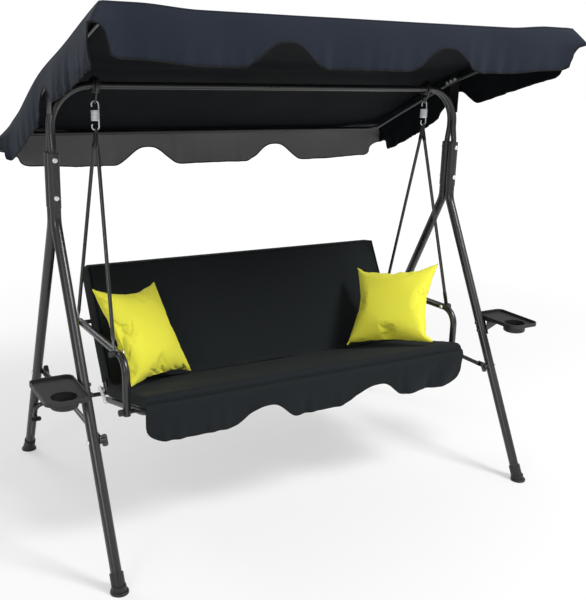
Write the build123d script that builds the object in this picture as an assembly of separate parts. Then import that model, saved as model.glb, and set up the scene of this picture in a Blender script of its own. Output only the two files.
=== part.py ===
"""Three-seat porch swing: A-frame legs, hanging seat on springs, and a tilting scalloped canopy.

Millimetres. +X is to the right of a person facing the seat, +Y to the back, +Z up.
The origin is on the floor, midway between the four feet.
"""
from build123d import *
import math
import os

# --- Driving dimensions: the stand -----------------------------------------------------
HALF_SPAN = 800.0        # middle of the swing to the plane of each A-frame
FOOT_Y = 551.0           # leg axis at floor level, front and back
LEG_TOP_Y = 20.0         # leg axis where the two legs of a side stand together
LEG_BEND_Z = 1020.0      # height of the bend in each leg
LEG_SEAM_Z = 410.0       # joint between the lower and the upper leg tube
LEG_END_Z = 14.0         # lowest point of the leg's axis, inside the foot cap
LEG_TOP_Z = 1160.0
LEG_OD, LEG_WALL = 34.0, 1.2
CAP_OD, CAP_FLANGE_OD, CAP_HEIGHT = 42.0, 56.0, 52.0
SOCKET_OD, SOCKET_LOW, SOCKET_TOP = 37.0, 1070.0, 1243.0
SOCKET_BOLT_Z = (1104.0, 1222.0)
BEAM_Z = 1449.0          # axis of the top beam, and of the swing's main pivot
BEAM_OD, BEAM_WALL = 22.0, 1.2
BEAM_Y = 11.5            # the beam is two tubes, this far each side of the middle
BEAM_BEND_R = 130.0
BEAM_END_Z = 1166.0
BEAM_SEAM_X = 10.0
BEAM_BOLT_X = (-36.0, -6.0)
BRACE_Z, BRACE_OD, BRACE_PLATE = 400.0, 16.0, 4.0
CROSSBAR_Z, CROSSBAR_END_Z, CROSSBAR_BOLT_Z, CROSSBAR_OD = 250.0, 100.0, 198.0, 17.0

# --- Driving dimensions: trays ----------------------------------------------------------
TRAY_X, TRAY_Y, TRAY_TOP_Z = (822.0, 958.0), (-425.0, -205.0), 582.0
TRAY_RIM, TRAY_THICK, TRAY_CORNER = 10.0, 4.0, 26.0
CUP_Y, CUP_OD, CUP_DEPTH = -362.0, 78.0, 30.0
TRAY_BOLT_Z = (530.0, 557.0)

# --- Driving dimensions: hangers --------------------------------------------------------
HANGER_X = 656.0         # plane of the loops and springs
LOOP_WIRE, LOOP_R, LOOP_LOW_R, LOOP_LOW_Z = 6.0, 27.0, 7.0, 1395.5
SADDLE_R, SADDLE_WIDTH = 23.5, 24.0
SPRING_WIRE, SPRING_R, HOOK_R = 4.0, 11.75, 11.5
HOOK_TOP_Z, HOOK_LOW_Z = 1401.0, 1310.0   # axis of the hook wire at its top and bottom
COIL_LOW_Z, COIL_TOP_Z, COIL_TURNS = 1338.5, 1372.5, 8
ROD_OD, ROD_PLATE, ROD_EYE_R = 12.5, 3.0, 9.5
ROD_EYE_X, ROD_TAB, ROD_FLAT_END = 1.8, 40.0, 60.0   # eye offset; end of the tab; start of the round
ROD_EYE_HOLE, ROD_EYE_Z = 11.0, 1307.5

# --- Driving dimensions: seat -----------------------------------------------------------
SEAT_ANGLE, SEAT_PIVOT = 13.8, (45.0, 368.0)     # degrees up to the front; rear end (Y, Z)
SEAT_DEPTH, SEAT_HALF, SEAT_OD = 401.6, 629.0, 22.0
BACK_ANGLE, BACK_PIVOT = 29.4, (80.0, 385.0)     # degrees from upright; bottom end (Y, Z)
BACK_HEIGHT, BACK_HALF = 458.0, 618.0
FRAME_WALL, SLING = 1.2, 1.5
CUSHION_THICK = 45.0
SEAT_CUSHION_HALF, BACK_CUSHION_HALF = 640.0, 620.0
VALANCE_TOP_Z, VALANCE_HEM_Z, VALANCE_HOLLOW = 489.0, 366.0, 58.0
ARM_X, ARM_OD, ARM_BEND_R = 665.0, 25.0, 60.0
ARM_REAR, ARM_CORNER, ARM_LOW = (226.0, 611.0), (-262.0, 622.0), (-262.0, 431.0)
ARM_FRONT_BOLT_Y = -196.0
ROD_LOW_X = 679.5
PILLOW_SIZE, PILLOW_THICK = 350.0, 90.0

# --- Driving dimensions: canopy ---------------------------------------------------------
CANOPY_HALF = 812.0
CANOPY_PROFILE = ((-567.0, 1663.0), (-35.0, 1516.0), (25.0, 1511.0), (523.0, 1268.0))
CANOPY_SHEET = 2.0
FRONT_DEPTH, REAR_DEPTH, HOLLOW = 150.0, 138.0, 70.0
CANOPY_TUBE_X, CANOPY_TUBE_OD, CANOPY_TUBE_WALL = 790.5, 16.0, 1.0
CANOPY_FRONT, CANOPY_PIVOT, CANOPY_REAR = (-556.0, 1648.0), (0.0, 1478.0), (512.0, 1255.0)
CANOPY_CORNER_R, CANOPY_RETURN = 45.0, 120.0
BRACKET_X, BRACKET_THICK, BRACKET_R = 799.0, 3.0, 30.5
SLOT_R, SLOT_WIDTH, TILT_LOW, TILT_HIGH = 23.0, 6.7, -5.0, 30.0

# --- Fasteners --------------------------------------------------------------------------
BOLT = 8.0
HEAD_R, HEAD_H = 8.0, 5.0
KNOB_R, KNOB_H = 11.0, 15.0

SIDES = {"left": -1, "right": 1}
ENDS = {"front": -1, "rear": 1}
NODES = {}


def keep(name, *solids):
    """File one node; a group of alike pieces is a compound of separate solids."""
    shapes = [part for solid in solids for part in solid.solids()]
    NODES[name] = shapes[0] if len(shapes) == 1 else Compound(children=shapes)


def line_path(points, radii=()):
    """Straight runs through the points, with tangent arcs at the inner ones."""
    if len(points) == 2:
        return Line(*points)
    return FilletPolyline(*points, radius=list(radii))


def tube(points, radii, diameter, wall=0.0):
    """Round bar, or a tube when it has a wall, along straight runs and tangent arcs."""
    path = line_path(points, radii)
    section = Circle(diameter / 2)
    if wall:
        section -= Circle(diameter / 2 - wall)
    start = Plane(origin=path @ 0, z_dir=path % 0)
    return sweep(start * section, path=path)


def rod_between(start, end, radius):
    """Solid cylinder from one point to another."""
    start, end = Vector(*start), Vector(*end)
    axis = end - start
    return extrude(Plane(origin=start, z_dir=axis.normalized()) * Circle(radius), amount=axis.length)


def bolt(start, end, radius=BOLT / 2, nut=True):
    """Bolt with a domed head beyond its start and, if asked, a nut beyond its end."""
    start, end = Vector(*start), Vector(*end)
    axis = (end - start).normalized()
    shank = rod_between(start, end, radius)
    head = Plane(origin=start, z_dir=-axis) * dome(radius * 2, HEAD_H)
    piece = shank + head
    if nut:
        piece += extrude(Plane(origin=end, z_dir=axis) * RegularPolygon(radius * 1.7, 6), amount=radius * 1.5)
    return piece


def dome(radius, height):
    """Round-topped head standing on the XY plane."""
    head = Pos(0, 0, height / 2) * Cylinder(radius, height)
    return fillet(head.edges().group_by(Axis.Z)[-1], height * 0.6)


def knob(start, axis, radius=KNOB_R, height=KNOB_H):
    """Round clamping knob with a fluted rim, seated at start and pointing along axis."""
    body = Pos(0, 0, height / 2) * Cylinder(radius, height)
    body = fillet(body.edges().group_by(Axis.Z)[-1], 3)
    flutes = [loc * Cylinder(2.2, height * 2.2) for loc in PolarLocations(radius + 1.0, 8)]
    return Plane(origin=Vector(*start), z_dir=Vector(*axis)) * (body - flutes)


def wing_knob(start, axis, depth):
    """Two-winged knob on a boss, bored for its bolt, seated at start."""
    boss = Pos(0, 0, 7) * Cylinder(9, 14)
    wing = Pos(0, 0, 13) * Box(38, 6, 18)
    wing = fillet(wing.edges().filter_by(Axis.Y), 7)
    body = boss + wing - Pos(0, 0, depth / 2) * Cylinder(BOLT / 2, depth)
    axis = Vector(*axis)
    wings = (0, 0.5, 0.87) if axis.X else (1, 0, 0)
    return Plane(origin=Vector(*start), x_dir=wings, z_dir=axis) * body


def leg_axis(z, end):
    """Centre of a leg's sloping tube at height z, in the Y-Z plane."""
    slope = (FOOT_Y - LEG_TOP_Y) / LEG_BEND_Z
    return end * (FOOT_Y - slope * z)


def seat_plane(x=0.0):
    """Seat frame's plane: local -y runs forward and up, local z out of the cushion."""
    a = math.radians(SEAT_ANGLE)
    return Plane(origin=(x, *SEAT_PIVOT), x_dir=(1, 0, 0), z_dir=(0, math.sin(a), math.cos(a)))


def back_plane(x=0.0):
    """Back frame's plane: local y runs up the back, local z forward out of the cushion."""
    a = math.radians(BACK_ANGLE)
    return Plane(origin=(x, *BACK_PIVOT), x_dir=(1, 0, 0), z_dir=(0, -math.cos(a), math.sin(a)))


def place(plane, x, y, z=0.0):
    """World point of a local point on a plane."""
    return plane.from_local_coords(Vector(x, y, z))


# --- The stand --------------------------------------------------------------------------
def build_legs():
    """Four legs, each a lower tube and an upper tube whose swaged end plugs into it."""
    for side, sx in SIDES.items():
        x = sx * HALF_SPAN
        for end, sy in ENDS.items():
            foot = (x, leg_axis(LEG_END_Z, sy), LEG_END_Z)
            seam = (x, leg_axis(LEG_SEAM_Z, sy), LEG_SEAM_Z)
            plug = (x, leg_axis(LEG_SEAM_Z - 45, sy), LEG_SEAM_Z - 45)
            bend = (x, sy * LEG_TOP_Y, LEG_BEND_Z)
            top = (x, sy * LEG_TOP_Y, LEG_TOP_Z)
            lower = tube([foot, seam], (), LEG_OD, LEG_WALL)
            upper = tube([seam, bend, top], (90,), LEG_OD, LEG_WALL)
            spigot_od = LEG_OD - 2 * LEG_WALL
            above = (x, leg_axis(LEG_SEAM_Z + 12, sy), LEG_SEAM_Z + 12)
            upper += tube([plug, above], (), spigot_od, LEG_WALL)
            brace_hole = rod_between((x - 30, leg_axis(BRACE_Z, sy), BRACE_Z),
                                     (x + 30, leg_axis(BRACE_Z, sy), BRACE_Z), BOLT / 2)
            socket_hole = rod_between((x, -60, SOCKET_BOLT_Z[0]), (x, 60, SOCKET_BOLT_Z[0]), BOLT / 2)
            lower -= brace_hole
            upper = upper - brace_hole - socket_hole
            if end == "front":
                for z in TRAY_BOLT_Z:
                    upper -= rod_between((x - 30, leg_axis(z, sy), z), (x + 30, leg_axis(z, sy), z), 3)
            else:
                lower -= crossbar_bolt_hole(sx)
            keep(f"leg_{end}_{side}_lower", lower)
            keep(f"leg_{end}_{side}_upper", upper)


def build_foot_caps():
    """Flared plastic caps that stand flat on the floor."""
    caps = []
    for sx in SIDES.values():
        for sy in ENDS.values():
            x = sx * HALF_SPAN
            low = Vector(x, leg_axis(-20, sy), -20)
            high = Vector(x, leg_axis(CAP_HEIGHT, sy), CAP_HEIGHT)
            sleeve = rod_between(low, high, CAP_OD / 2)
            flange = Pos(x, sy * FOOT_Y, 4) * Cylinder(CAP_FLANGE_OD / 2, 8)
            flange = fillet(flange.edges().group_by(Axis.Z)[-1], 3)
            skirt = Pos(x, sy * (FOOT_Y - 4), 15) * Cone(CAP_FLANGE_OD / 2 - 3, CAP_OD / 2, 18)
            bore = rod_between((x, leg_axis(LEG_END_Z, sy), LEG_END_Z), (x, leg_axis(90, sy), 90), LEG_OD / 2)
            below = Pos(x, sy * FOOT_Y, -50) * Box(200, 200, 100)
            caps.append(sleeve + flange + skirt - bore - below)
    keep("foot_caps", *caps)


def build_sockets():
    """Pairs of sleeves that join the legs of one side to the ends of the beam tubes."""
    bushes = []
    for side, sx in SIDES.items():
        x = sx * HALF_SPAN
        pair = None
        for sy in ENDS.values():
            sleeve = rod_between((x, sy * LEG_TOP_Y, SOCKET_LOW), (x, sy * LEG_TOP_Y, SOCKET_TOP), SOCKET_OD / 2)
            pair = sleeve if pair is None else pair + sleeve
        height = SOCKET_TOP - SOCKET_LOW - 20
        pair += Pos(x, 0, (SOCKET_TOP + SOCKET_LOW) / 2) * Box(8, 8, height)
        for sy in ENDS.values():
            pair -= rod_between((x, sy * LEG_TOP_Y, SOCKET_LOW - 1), (x, sy * LEG_TOP_Y, SOCKET_TOP + 1), LEG_OD / 2)
            ring = rod_between((x, sy * LEG_TOP_Y, 1176), (x, sy * LEG_TOP_Y, 1232), LEG_OD / 2)
            ring -= rod_between((x, sy * LEG_TOP_Y, 1170), (x, sy * LEG_TOP_Y, 1240), BEAM_OD / 2)
            bushes.append(ring - rod_between((x, -60, SOCKET_BOLT_Z[1]), (x, 60, SOCKET_BOLT_Z[1]), BOLT / 2))
        for z in SOCKET_BOLT_Z:
            pair -= rod_between((x, -60, z), (x, 60, z), BOLT / 2)
        keep(f"leg_socket_{side}", pair)
    keep("socket_bushes", *bushes)
    reach = LEG_TOP_Y + SOCKET_OD / 2
    bolts = [bolt((sx * HALF_SPAN, -reach, z), (sx * HALF_SPAN, reach, z))
             for sx in SIDES.values() for z in SOCKET_BOLT_Z]
    keep("socket_bolts", *bolts)


def beam_points(sx, sy):
    """Route of one beam tube from the middle joint out, round the bend and down to its socket."""
    x = sx * HALF_SPAN
    return [(BEAM_SEAM_X, sy * BEAM_Y, BEAM_Z), (x, sy * BEAM_Y, BEAM_Z), (x, sy * BEAM_Y, 1300),
            (x, sy * LEG_TOP_Y, 1254), (x, sy * LEG_TOP_Y, BEAM_END_Z)]


def build_beam():
    """Four bent tubes, two for each half of the beam, pinned over inner sleeves at the middle."""
    sleeves = []
    for sy in ENDS.values():
        sleeve = tube([(-75, sy * BEAM_Y, BEAM_Z), (95, sy * BEAM_Y, BEAM_Z)], (), BEAM_OD - 2 * BEAM_WALL, 1.5)
        for x in BEAM_BOLT_X:
            sleeve -= rod_between((x, -60, BEAM_Z), (x, 60, BEAM_Z), 3)
        sleeves.append(sleeve)
    keep("beam_sleeves", *sleeves)
    for side, sx in SIDES.items():
        for end, sy in ENDS.items():
            half = tube(beam_points(sx, sy), (BEAM_BEND_R, 60, 60), BEAM_OD, BEAM_WALL)
            z = SOCKET_BOLT_Z[1]
            half -= rod_between((sx * HALF_SPAN, -60, z), (sx * HALF_SPAN, 60, z), BOLT / 2)
            if side == "left":
                for x in BEAM_BOLT_X:
                    half -= rod_between((x, -60, BEAM_Z), (x, 60, BEAM_Z), 3)
            keep(f"beam_{end}_{side}", half)
    reach = BEAM_Y + BEAM_OD / 2
    keep("beam_bolts", *[bolt((x, -reach, BEAM_Z), (x, reach, BEAM_Z), 3) for x in BEAM_BOLT_X])
    saddles = []
    for sx in SIDES.values():
        low, high = sx * HANGER_X - SADDLE_WIDTH / 2, sx * HANGER_X + SADDLE_WIDTH / 2
        saddle = rod_between((low, 0, BEAM_Z), (high, 0, BEAM_Z), SADDLE_R)
        for sy in ENDS.values():
            saddle -= rod_between((low - 1, sy * BEAM_Y, BEAM_Z), (high + 1, sy * BEAM_Y, BEAM_Z), BEAM_OD / 2)
        saddles.append(saddle)
    keep("beam_saddles", *saddles)


def build_braces():
    """Level brace with flattened ends on the inner side of each pair of legs."""
    for side, sx in SIDES.items():
        inner = HALF_SPAN - LEG_OD / 2
        y_end = leg_axis(BRACE_Z, 1)
        x_mid = sx * (inner - BRACE_OD / 2)
        bar = tube([(x_mid, -(y_end - 34), BRACE_Z), (x_mid, y_end - 34, BRACE_Z)], (), BRACE_OD, 1.2)
        x_plate = sx * (inner - BRACE_PLATE / 2)
        for sy in ENDS.values():
            tab = Pos(x_plate, sy * (y_end - 23), BRACE_Z) * Box(BRACE_PLATE, 46, 20)
            tab += Pos(x_plate, sy * y_end, BRACE_Z) * Rot(0, 90, 0) * Cylinder(10, BRACE_PLATE)
            bar += tab
        for sy in ENDS.values():
            bar -= rod_between((x_plate - 9, sy * y_end, BRACE_Z), (x_plate + 9, sy * y_end, BRACE_Z), BOLT / 2)
        keep(f"side_brace_{side}", bar)


def leg_normal():
    """Unit vector square to a rear leg, pointing forward and down."""
    slope = (FOOT_Y - LEG_TOP_Y) / LEG_BEND_Z
    size = math.hypot(1, slope)
    return Vector(0, -1 / size, -slope / size)


def crossbar_point(sx, z):
    """Centre of the crossbar's end run, which lies along the front of a rear leg."""
    offset = (LEG_OD + CROSSBAR_OD) / 2
    n = leg_normal()
    leg_z = z - n.Z * offset
    return Vector(sx * HALF_SPAN, leg_axis(leg_z, 1) + n.Y * offset, z)


def crossbar_bolt_hole(sx):
    """Hole through a rear leg and the crossbar's end run."""
    middle = crossbar_point(sx, CROSSBAR_BOLT_Z)
    n = leg_normal()
    return rod_between(middle + n * 20, middle - n * 60, BOLT / 2)


def build_crossbar():
    """Rear crossbar, bent down at each end along the rear legs."""
    points = [crossbar_point(-1, CROSSBAR_END_Z), crossbar_point(-1, CROSSBAR_Z),
              crossbar_point(1, CROSSBAR_Z), crossbar_point(1, CROSSBAR_END_Z)]
    bar = tube([tuple(p) for p in points], (30, 30), CROSSBAR_OD, 1.2)
    for sx in SIDES.values():
        bar -= crossbar_bolt_hole(sx)
    keep("rear_crossbar", bar)


def build_brace_fasteners():
    """Bolts from outside the legs and the wing knobs that clamp braces and crossbar."""
    bolts = []
    knobs = []
    for sx in SIDES.values():
        outer, seat = sx * (HALF_SPAN + LEG_OD / 2), sx * (HALF_SPAN - LEG_OD / 2 - BRACE_PLATE)
        for sy in ENDS.values():
            y = leg_axis(BRACE_Z, sy)
            bolts.append(bolt((outer, y, BRACE_Z), (seat - sx * 12, y, BRACE_Z), nut=False))
            knobs.append(wing_knob((seat, y, BRACE_Z), (-sx, 0, 0), 12))
        n = leg_normal()
        middle = crossbar_point(sx, CROSSBAR_BOLT_Z)
        head = middle - n * (LEG_OD + CROSSBAR_OD / 2)
        face = middle + n * (CROSSBAR_OD / 2)
        bolts.append(bolt(head, face + n * 12, nut=False))
        knobs.append(wing_knob(face, n, 12))
    keep("brace_bolts", *bolts)
    keep("wing_knobs", *knobs)


# --- Trays ------------------------------------------------------------------------------
def build_trays():
    """Moulded side trays with a raised rim and a cup recess, on steel brackets."""
    brackets = []
    bolts = []
    floor_z = TRAY_TOP_Z - TRAY_RIM
    for side, sx in SIDES.items():
        x_mid, y_mid = sx * sum(TRAY_X) / 2, sum(TRAY_Y) / 2
        width, length = TRAY_X[1] - TRAY_X[0], TRAY_Y[1] - TRAY_Y[0]
        outline = Pos(x_mid, y_mid, floor_z - TRAY_THICK) * RectangleRounded(width, length, TRAY_CORNER)
        tray = extrude(outline, amount=TRAY_RIM + TRAY_THICK)
        inside = Pos(x_mid, y_mid, floor_z) * RectangleRounded(width - 10, length - 10, TRAY_CORNER - 5)
        tray -= extrude(inside, amount=TRAY_RIM + 1)
        tray = fillet(tray.edges().group_by(Axis.Z)[-1], 2)
        cup_height = CUP_DEPTH + TRAY_THICK
        cup = Pos(x_mid, CUP_Y, floor_z - cup_height / 2) * Cylinder(CUP_OD / 2 + 3, cup_height)
        cup = fillet(cup.edges().group_by(Axis.Z)[0], 8)
        tray += cup
        tray -= Pos(x_mid, CUP_Y, floor_z - CUP_DEPTH / 2 + 5) * Cylinder(CUP_OD / 2, CUP_DEPTH + 10)
        keep(f"side_tray_{side}", tray)
        brackets.append(tray_bracket(sx, floor_z - TRAY_THICK))
        for z in TRAY_BOLT_Z:
            y = leg_axis(z, -1)
            start = (sx * (HALF_SPAN - LEG_OD / 2), y, z)
            bolts.append(bolt(start, (sx * (HALF_SPAN + LEG_OD / 2 + 3), y, z), 3))
    keep("tray_brackets", *brackets)
    keep("tray_bolts", *bolts)


def tray_bracket(sx, top_z):
    """Angle bracket: plate on the leg's outer side, shelf under the tray and a gusset."""
    x_leg = HALF_SPAN + LEG_OD / 2
    low, high = min(TRAY_BOLT_Z) - 14, top_z
    y_low, y_high = leg_axis(low, -1), leg_axis(high, -1)
    outline = Polyline((y_low - 14, low), (y_high - 14, high), (y_high + 14, high), (y_low + 14, low), close=True)
    plate = extrude(Plane.YZ.offset(x_leg) * make_face(outline), amount=3)
    y_mid = y_high - 10
    shelf = Pos(x_leg + 42, y_mid, top_z - 1.5) * Box(84, 44, 3)
    rib = Polyline((x_leg, top_z), (x_leg + 80, top_z), (x_leg + 80, top_z - 8), (x_leg, top_z - 42), close=True)
    gusset = extrude(Plane.XZ.offset(-y_mid + 18) * make_face(rib), amount=3)
    bracket = plate + shelf + gusset
    for z in TRAY_BOLT_Z:
        bracket -= rod_between((x_leg - 1, leg_axis(z, -1), z), (x_leg + 12, leg_axis(z, -1), z), 3)
    return bracket if sx > 0 else mirror(bracket, about=Plane.YZ)


# --- Hangers ----------------------------------------------------------------------------
def build_hangers():
    """Steel loops over the beam and the hooked coil springs below them."""
    for side, sx in SIDES.items():
        keep(f"hanger_loop_{side}", Pos(sx * HANGER_X, 0, 0) * hanger_loop())
        keep(f"spring_{side}", Pos(sx * HANGER_X, 0, 0) * hooked_spring())


def hanger_loop():
    """Closed wire loop: an arc over the saddle, two converging runs and a small lower arc."""
    low_centre = LOOP_LOW_Z + LOOP_LOW_R
    lean = math.asin((LOOP_R - LOOP_LOW_R) / (BEAM_Z - low_centre))
    c, s = math.cos(lean), math.sin(lean)
    big = [(0, sy * LOOP_R * c, BEAM_Z - LOOP_R * s) for sy in (-1, 1)]
    small = [(0, sy * LOOP_LOW_R * c, low_centre - LOOP_LOW_R * s) for sy in (-1, 1)]
    over = ThreePointArc(big[0], (0, 0, BEAM_Z + LOOP_R), big[1])
    under = ThreePointArc(small[1], (0, 0, LOOP_LOW_Z), small[0])
    path = Wire([over.edge(), Edge.make_line(big[1], small[1]), under.edge(), Edge.make_line(small[0], big[0])])
    start = Plane(origin=path @ 0, z_dir=path % 0)
    return sweep(start * Circle(LOOP_WIRE / 2), path=path)


def hooked_spring():
    """Extension spring: a close coil with an open hook at each end, in the X-Z plane."""
    pitch = (COIL_TOP_Z - COIL_LOW_Z) / COIL_TURNS
    helix = Pos(0, 0, COIL_LOW_Z) * Helix(pitch, COIL_TOP_Z - COIL_LOW_Z, SPRING_R)
    section = Plane(origin=helix @ 0, z_dir=helix % 0) * Circle(SPRING_WIRE / 2)
    spring = sweep(section, path=helix)
    joint_r = SPRING_WIRE / 2 + 0.15
    for z_ring, z_coil, up in ((HOOK_TOP_Z - HOOK_R, COIL_TOP_Z, 1), (HOOK_LOW_Z + HOOK_R, COIL_LOW_Z, -1)):
        shoulder = (SPRING_R, 0, z_coil)
        high = (HOOK_R, 0, z_ring)
        crown = (0, 0, z_ring + up * HOOK_R)
        tip_angle = math.radians(215)
        tip = (HOOK_R * math.cos(tip_angle), 0, z_ring + up * HOOK_R * math.sin(tip_angle))
        stem = rod_between(shoulder, high, SPRING_WIRE / 2)
        arc = ThreePointArc(high, crown, tip)
        hook = sweep(Plane(origin=arc @ 0, z_dir=arc % 0) * Circle(SPRING_WIRE / 2), path=arc)
        spring = spring + stem + hook + Pos(*shoulder) * Sphere(joint_r) + Pos(*high) * Sphere(joint_r)
    return spring


def build_rods():
    """Four straight rods from the springs down to the armrests, flattened at both ends."""
    for side, sx in SIDES.items():
        for end, low in (("front", front_arm_bolt()), ("rear", rear_arm_bolt())):
            inward = -1 if end == "front" else 1
            eye = Vector(sx * (HANGER_X + inward * ROD_EYE_X), 0, ROD_EYE_Z)
            foot = Vector(sx * ROD_LOW_X, *low)
            rod = flat_ended_rod(eye, foot)
            reach = Vector(9, 0, 0)
            rod -= rod_between(eye - reach, eye + reach, ROD_EYE_HOLE / 2)
            rod -= rod_between(foot - reach, foot + reach, BOLT / 2)
            for way in (-1, 1):
                rod -= rod_between(foot + reach * way, foot + Vector(way * ROD_PLATE / 2, 0, 0), 14)
            keep(f"hanging_rod_{end}_{side}", rod)


def flat_ended_rod(start, end):
    """Round rod whose ends widen into flat round tabs, square to X, centred on start and end."""
    length = (end - start).length
    half = Pos(0, 0, (length / 2 + ROD_FLAT_END) / 2) * Cylinder(ROD_OD / 2, length / 2 - ROD_FLAT_END)
    half += Pos(0, 0, ROD_TAB / 2) * Box(ROD_PLATE, 2 * ROD_EYE_R, ROD_TAB)
    half += Rot(0, 90, 0) * Cylinder(ROD_EYE_R, ROD_PLATE)
    squeeze = ROD_FLAT_END - ROD_TAB
    wedge = Polyline((-ROD_PLATE / 2, ROD_TAB), (ROD_PLATE / 2, ROD_TAB), (ROD_OD / 2, ROD_FLAT_END),
                     (-ROD_OD / 2, ROD_FLAT_END), close=True)
    wedge = extrude(Plane.XZ * make_face(wedge), amount=ROD_EYE_R + 1, both=True)
    half += wedge & Pos(0, 0, ROD_TAB + squeeze / 2) * Cone(ROD_EYE_R, ROD_OD / 2, squeeze)
    whole = half + mirror(half, about=Plane.XY.offset(length / 2))
    axis = (end - start).normalized()
    return Plane(origin=start, x_dir=Vector(1, 0, 0) - axis * axis.X, z_dir=axis) * whole


# --- Seat -------------------------------------------------------------------------------
def front_arm_bolt():
    """Where the front rod meets the armrest, in the Y-Z plane."""
    slope = (ARM_CORNER[1] - ARM_REAR[1]) / (ARM_CORNER[0] - ARM_REAR[0])
    return (ARM_FRONT_BOLT_Y, ARM_REAR[1] + slope * (ARM_FRONT_BOLT_Y - ARM_REAR[0]))


def rear_arm_bolt():
    """Where the rear rod, the armrest and the back frame meet, in the Y-Z plane."""
    point = place(back_plane(), 0, 260.5)
    return (point.Y, point.Z)


def low_arm_bolt():
    """Where the armrest meets the seat's side tube, in the Y-Z plane."""
    run = (SEAT_PIVOT[0] - ARM_LOW[0]) / math.cos(math.radians(SEAT_ANGLE))
    point = place(seat_plane(), 0, -run)
    return (point.Y, point.Z)


def build_armrests():
    """Bent tube armrests outside the seat, bored for their three bolts."""
    for side, sx in SIDES.items():
        x = sx * ARM_X
        arm = tube([(x, *ARM_REAR), (x, *ARM_CORNER), (x, *ARM_LOW)], (ARM_BEND_R,), ARM_OD, 1.2)
        for point in (front_arm_bolt(), rear_arm_bolt(), low_arm_bolt()):
            arm -= rod_between((x - 20, *point), (x + 20, *point), BOLT / 2)
        keep(f"armrest_{side}", arm)


def build_seat_frames():
    """U-shaped seat tube and arch-shaped back tube, each with a cross tube."""
    seat, back = seat_plane(), back_plane()
    corner = [(-1, 0), (-1, 1), (1, 1), (1, 0)]
    points = [tuple(place(seat, s * SEAT_HALF, -f * SEAT_DEPTH)) for s, f in corner]
    frame = tube(points, (52, 52), SEAT_OD, FRAME_WALL)
    inner = SEAT_HALF - SEAT_OD / 2 + 2
    frame += tube([tuple(place(seat, s * inner, -34)) for s in (-1, 1)], (), 18, 1.2)
    holes = [low_arm_bolt(), hinge_points()[0]]
    keep("seat_frame", drill_sides(frame, holes))
    points = [tuple(place(back, s * BACK_HALF, f * BACK_HEIGHT)) for s, f in corner]
    frame = tube(points, (58, 58), SEAT_OD, FRAME_WALL)
    inner = BACK_HALF - SEAT_OD / 2 + 2
    frame += tube([tuple(place(back, s * inner, 36)) for s in (-1, 1)], (), 18, 1.2)
    holes = [rear_arm_bolt(), hinge_points()[1]]
    keep("back_frame", drill_sides(frame, holes))


def drill_sides(frame, holes):
    """Cross-drill both side tubes of a frame at each (Y, Z)."""
    for y, z in holes:
        for sx in SIDES.values():
            frame -= rod_between((sx * 590, y, z), (sx * 660, y, z), BOLT / 2)
    return frame


def hinge_points():
    """The two bolt centres of a hinge plate, seat end first, in the Y-Z plane."""
    return tuple(place(seat_plane(), 0, -11))[1:], tuple(place(back_plane(), 0, 11))[1:]


def build_hinge_plates():
    """Zinc plates that join the seat frame's rear ends to the back frame's lower ends."""
    low, high = hinge_points()
    lean = math.degrees(math.atan2(high[0] - low[0], high[1] - low[1]))
    span = math.dist(low, high)
    x_plate = SEAT_HALF + SEAT_OD / 2
    gap = SEAT_HALF - BACK_HALF
    plate = Pos(0, 0, span / 2) * Box(3, 24, span)
    plate += Rot(0, 90, 0) * Cylinder(12, 3)
    plate += Pos(0, 0, span) * Rot(0, 90, 0) * Cylinder(12, 3)
    plate += Pos(-(3 + gap) / 2, 0, span) * Rot(0, 90, 0) * Cylinder(8, gap)
    plate = Pos(x_plate + 1.5, *low) * Rot(-lean, 0, 0) * plate
    for y, z in (low, high):
        plate -= rod_between((x_plate - 30, y, z), (x_plate + 9, y, z), BOLT / 2)
    keep("hinge_plates", plate, mirror(plate, about=Plane.YZ))


def sling(plane, length, cross_y, half):
    """Fabric panel lying on a frame, with a sleeve round its far tube and its cross tube."""
    tube_r = SEAT_OD / 2
    reach = abs(length - cross_y)
    sheet = Pos(0, (length + cross_y) / 2, tube_r + SLING / 2) * Box(2 * half, reach, SLING)
    hem = Pos(0, length, 0) * Rot(0, 90, 0) * (Cylinder(tube_r + SLING, 2 * half) - Cylinder(tube_r, 2 * half))
    low = Pos(0, cross_y, 0) * Rot(0, 90, 0) * (Cylinder(tube_r + SLING, 2 * half) - Cylinder(9, 2 * half))
    return plane * (sheet + hem + low)


def build_slings():
    """Woven fabric panels that carry the two cushions."""
    keep("seat_sling", sling(seat_plane(), -SEAT_DEPTH, -34, SEAT_HALF - 62))
    keep("back_sling", sling(back_plane(), BACK_HEIGHT, 36, BACK_HALF - 68))


def build_cushions():
    """Plain solids of the seat and back cushions."""
    base = SEAT_OD / 2 + SLING
    top = base + CUSHION_THICK
    front = SEAT_DEPTH + SEAT_OD / 2 + 3
    outline = Polyline((-front, base), (-front, top), (-30, top), (-30, base), close=True)
    seat = prism(seat_plane(), outline, SEAT_CUSHION_HALF)
    keep("seat_cushion", fillet(seat.edges().filter_by(Axis.X), 12))
    outline = Polyline((8, base), (8, top), (442, top), (470, base), close=True)
    back = prism(back_plane(), outline, BACK_CUSHION_HALF)
    keep("back_cushion", fillet(back.edges().filter_by(Axis.X), 10))


def prism(plane, outline, half):
    """Extrude an outline drawn in a plane's local (y, z) to both sides of the middle."""
    side = Plane(origin=plane.from_local_coords(Vector(-half, 0, 0)), x_dir=plane.y_dir, z_dir=plane.x_dir)
    return extrude(side * make_face(outline), amount=2 * half)


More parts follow.
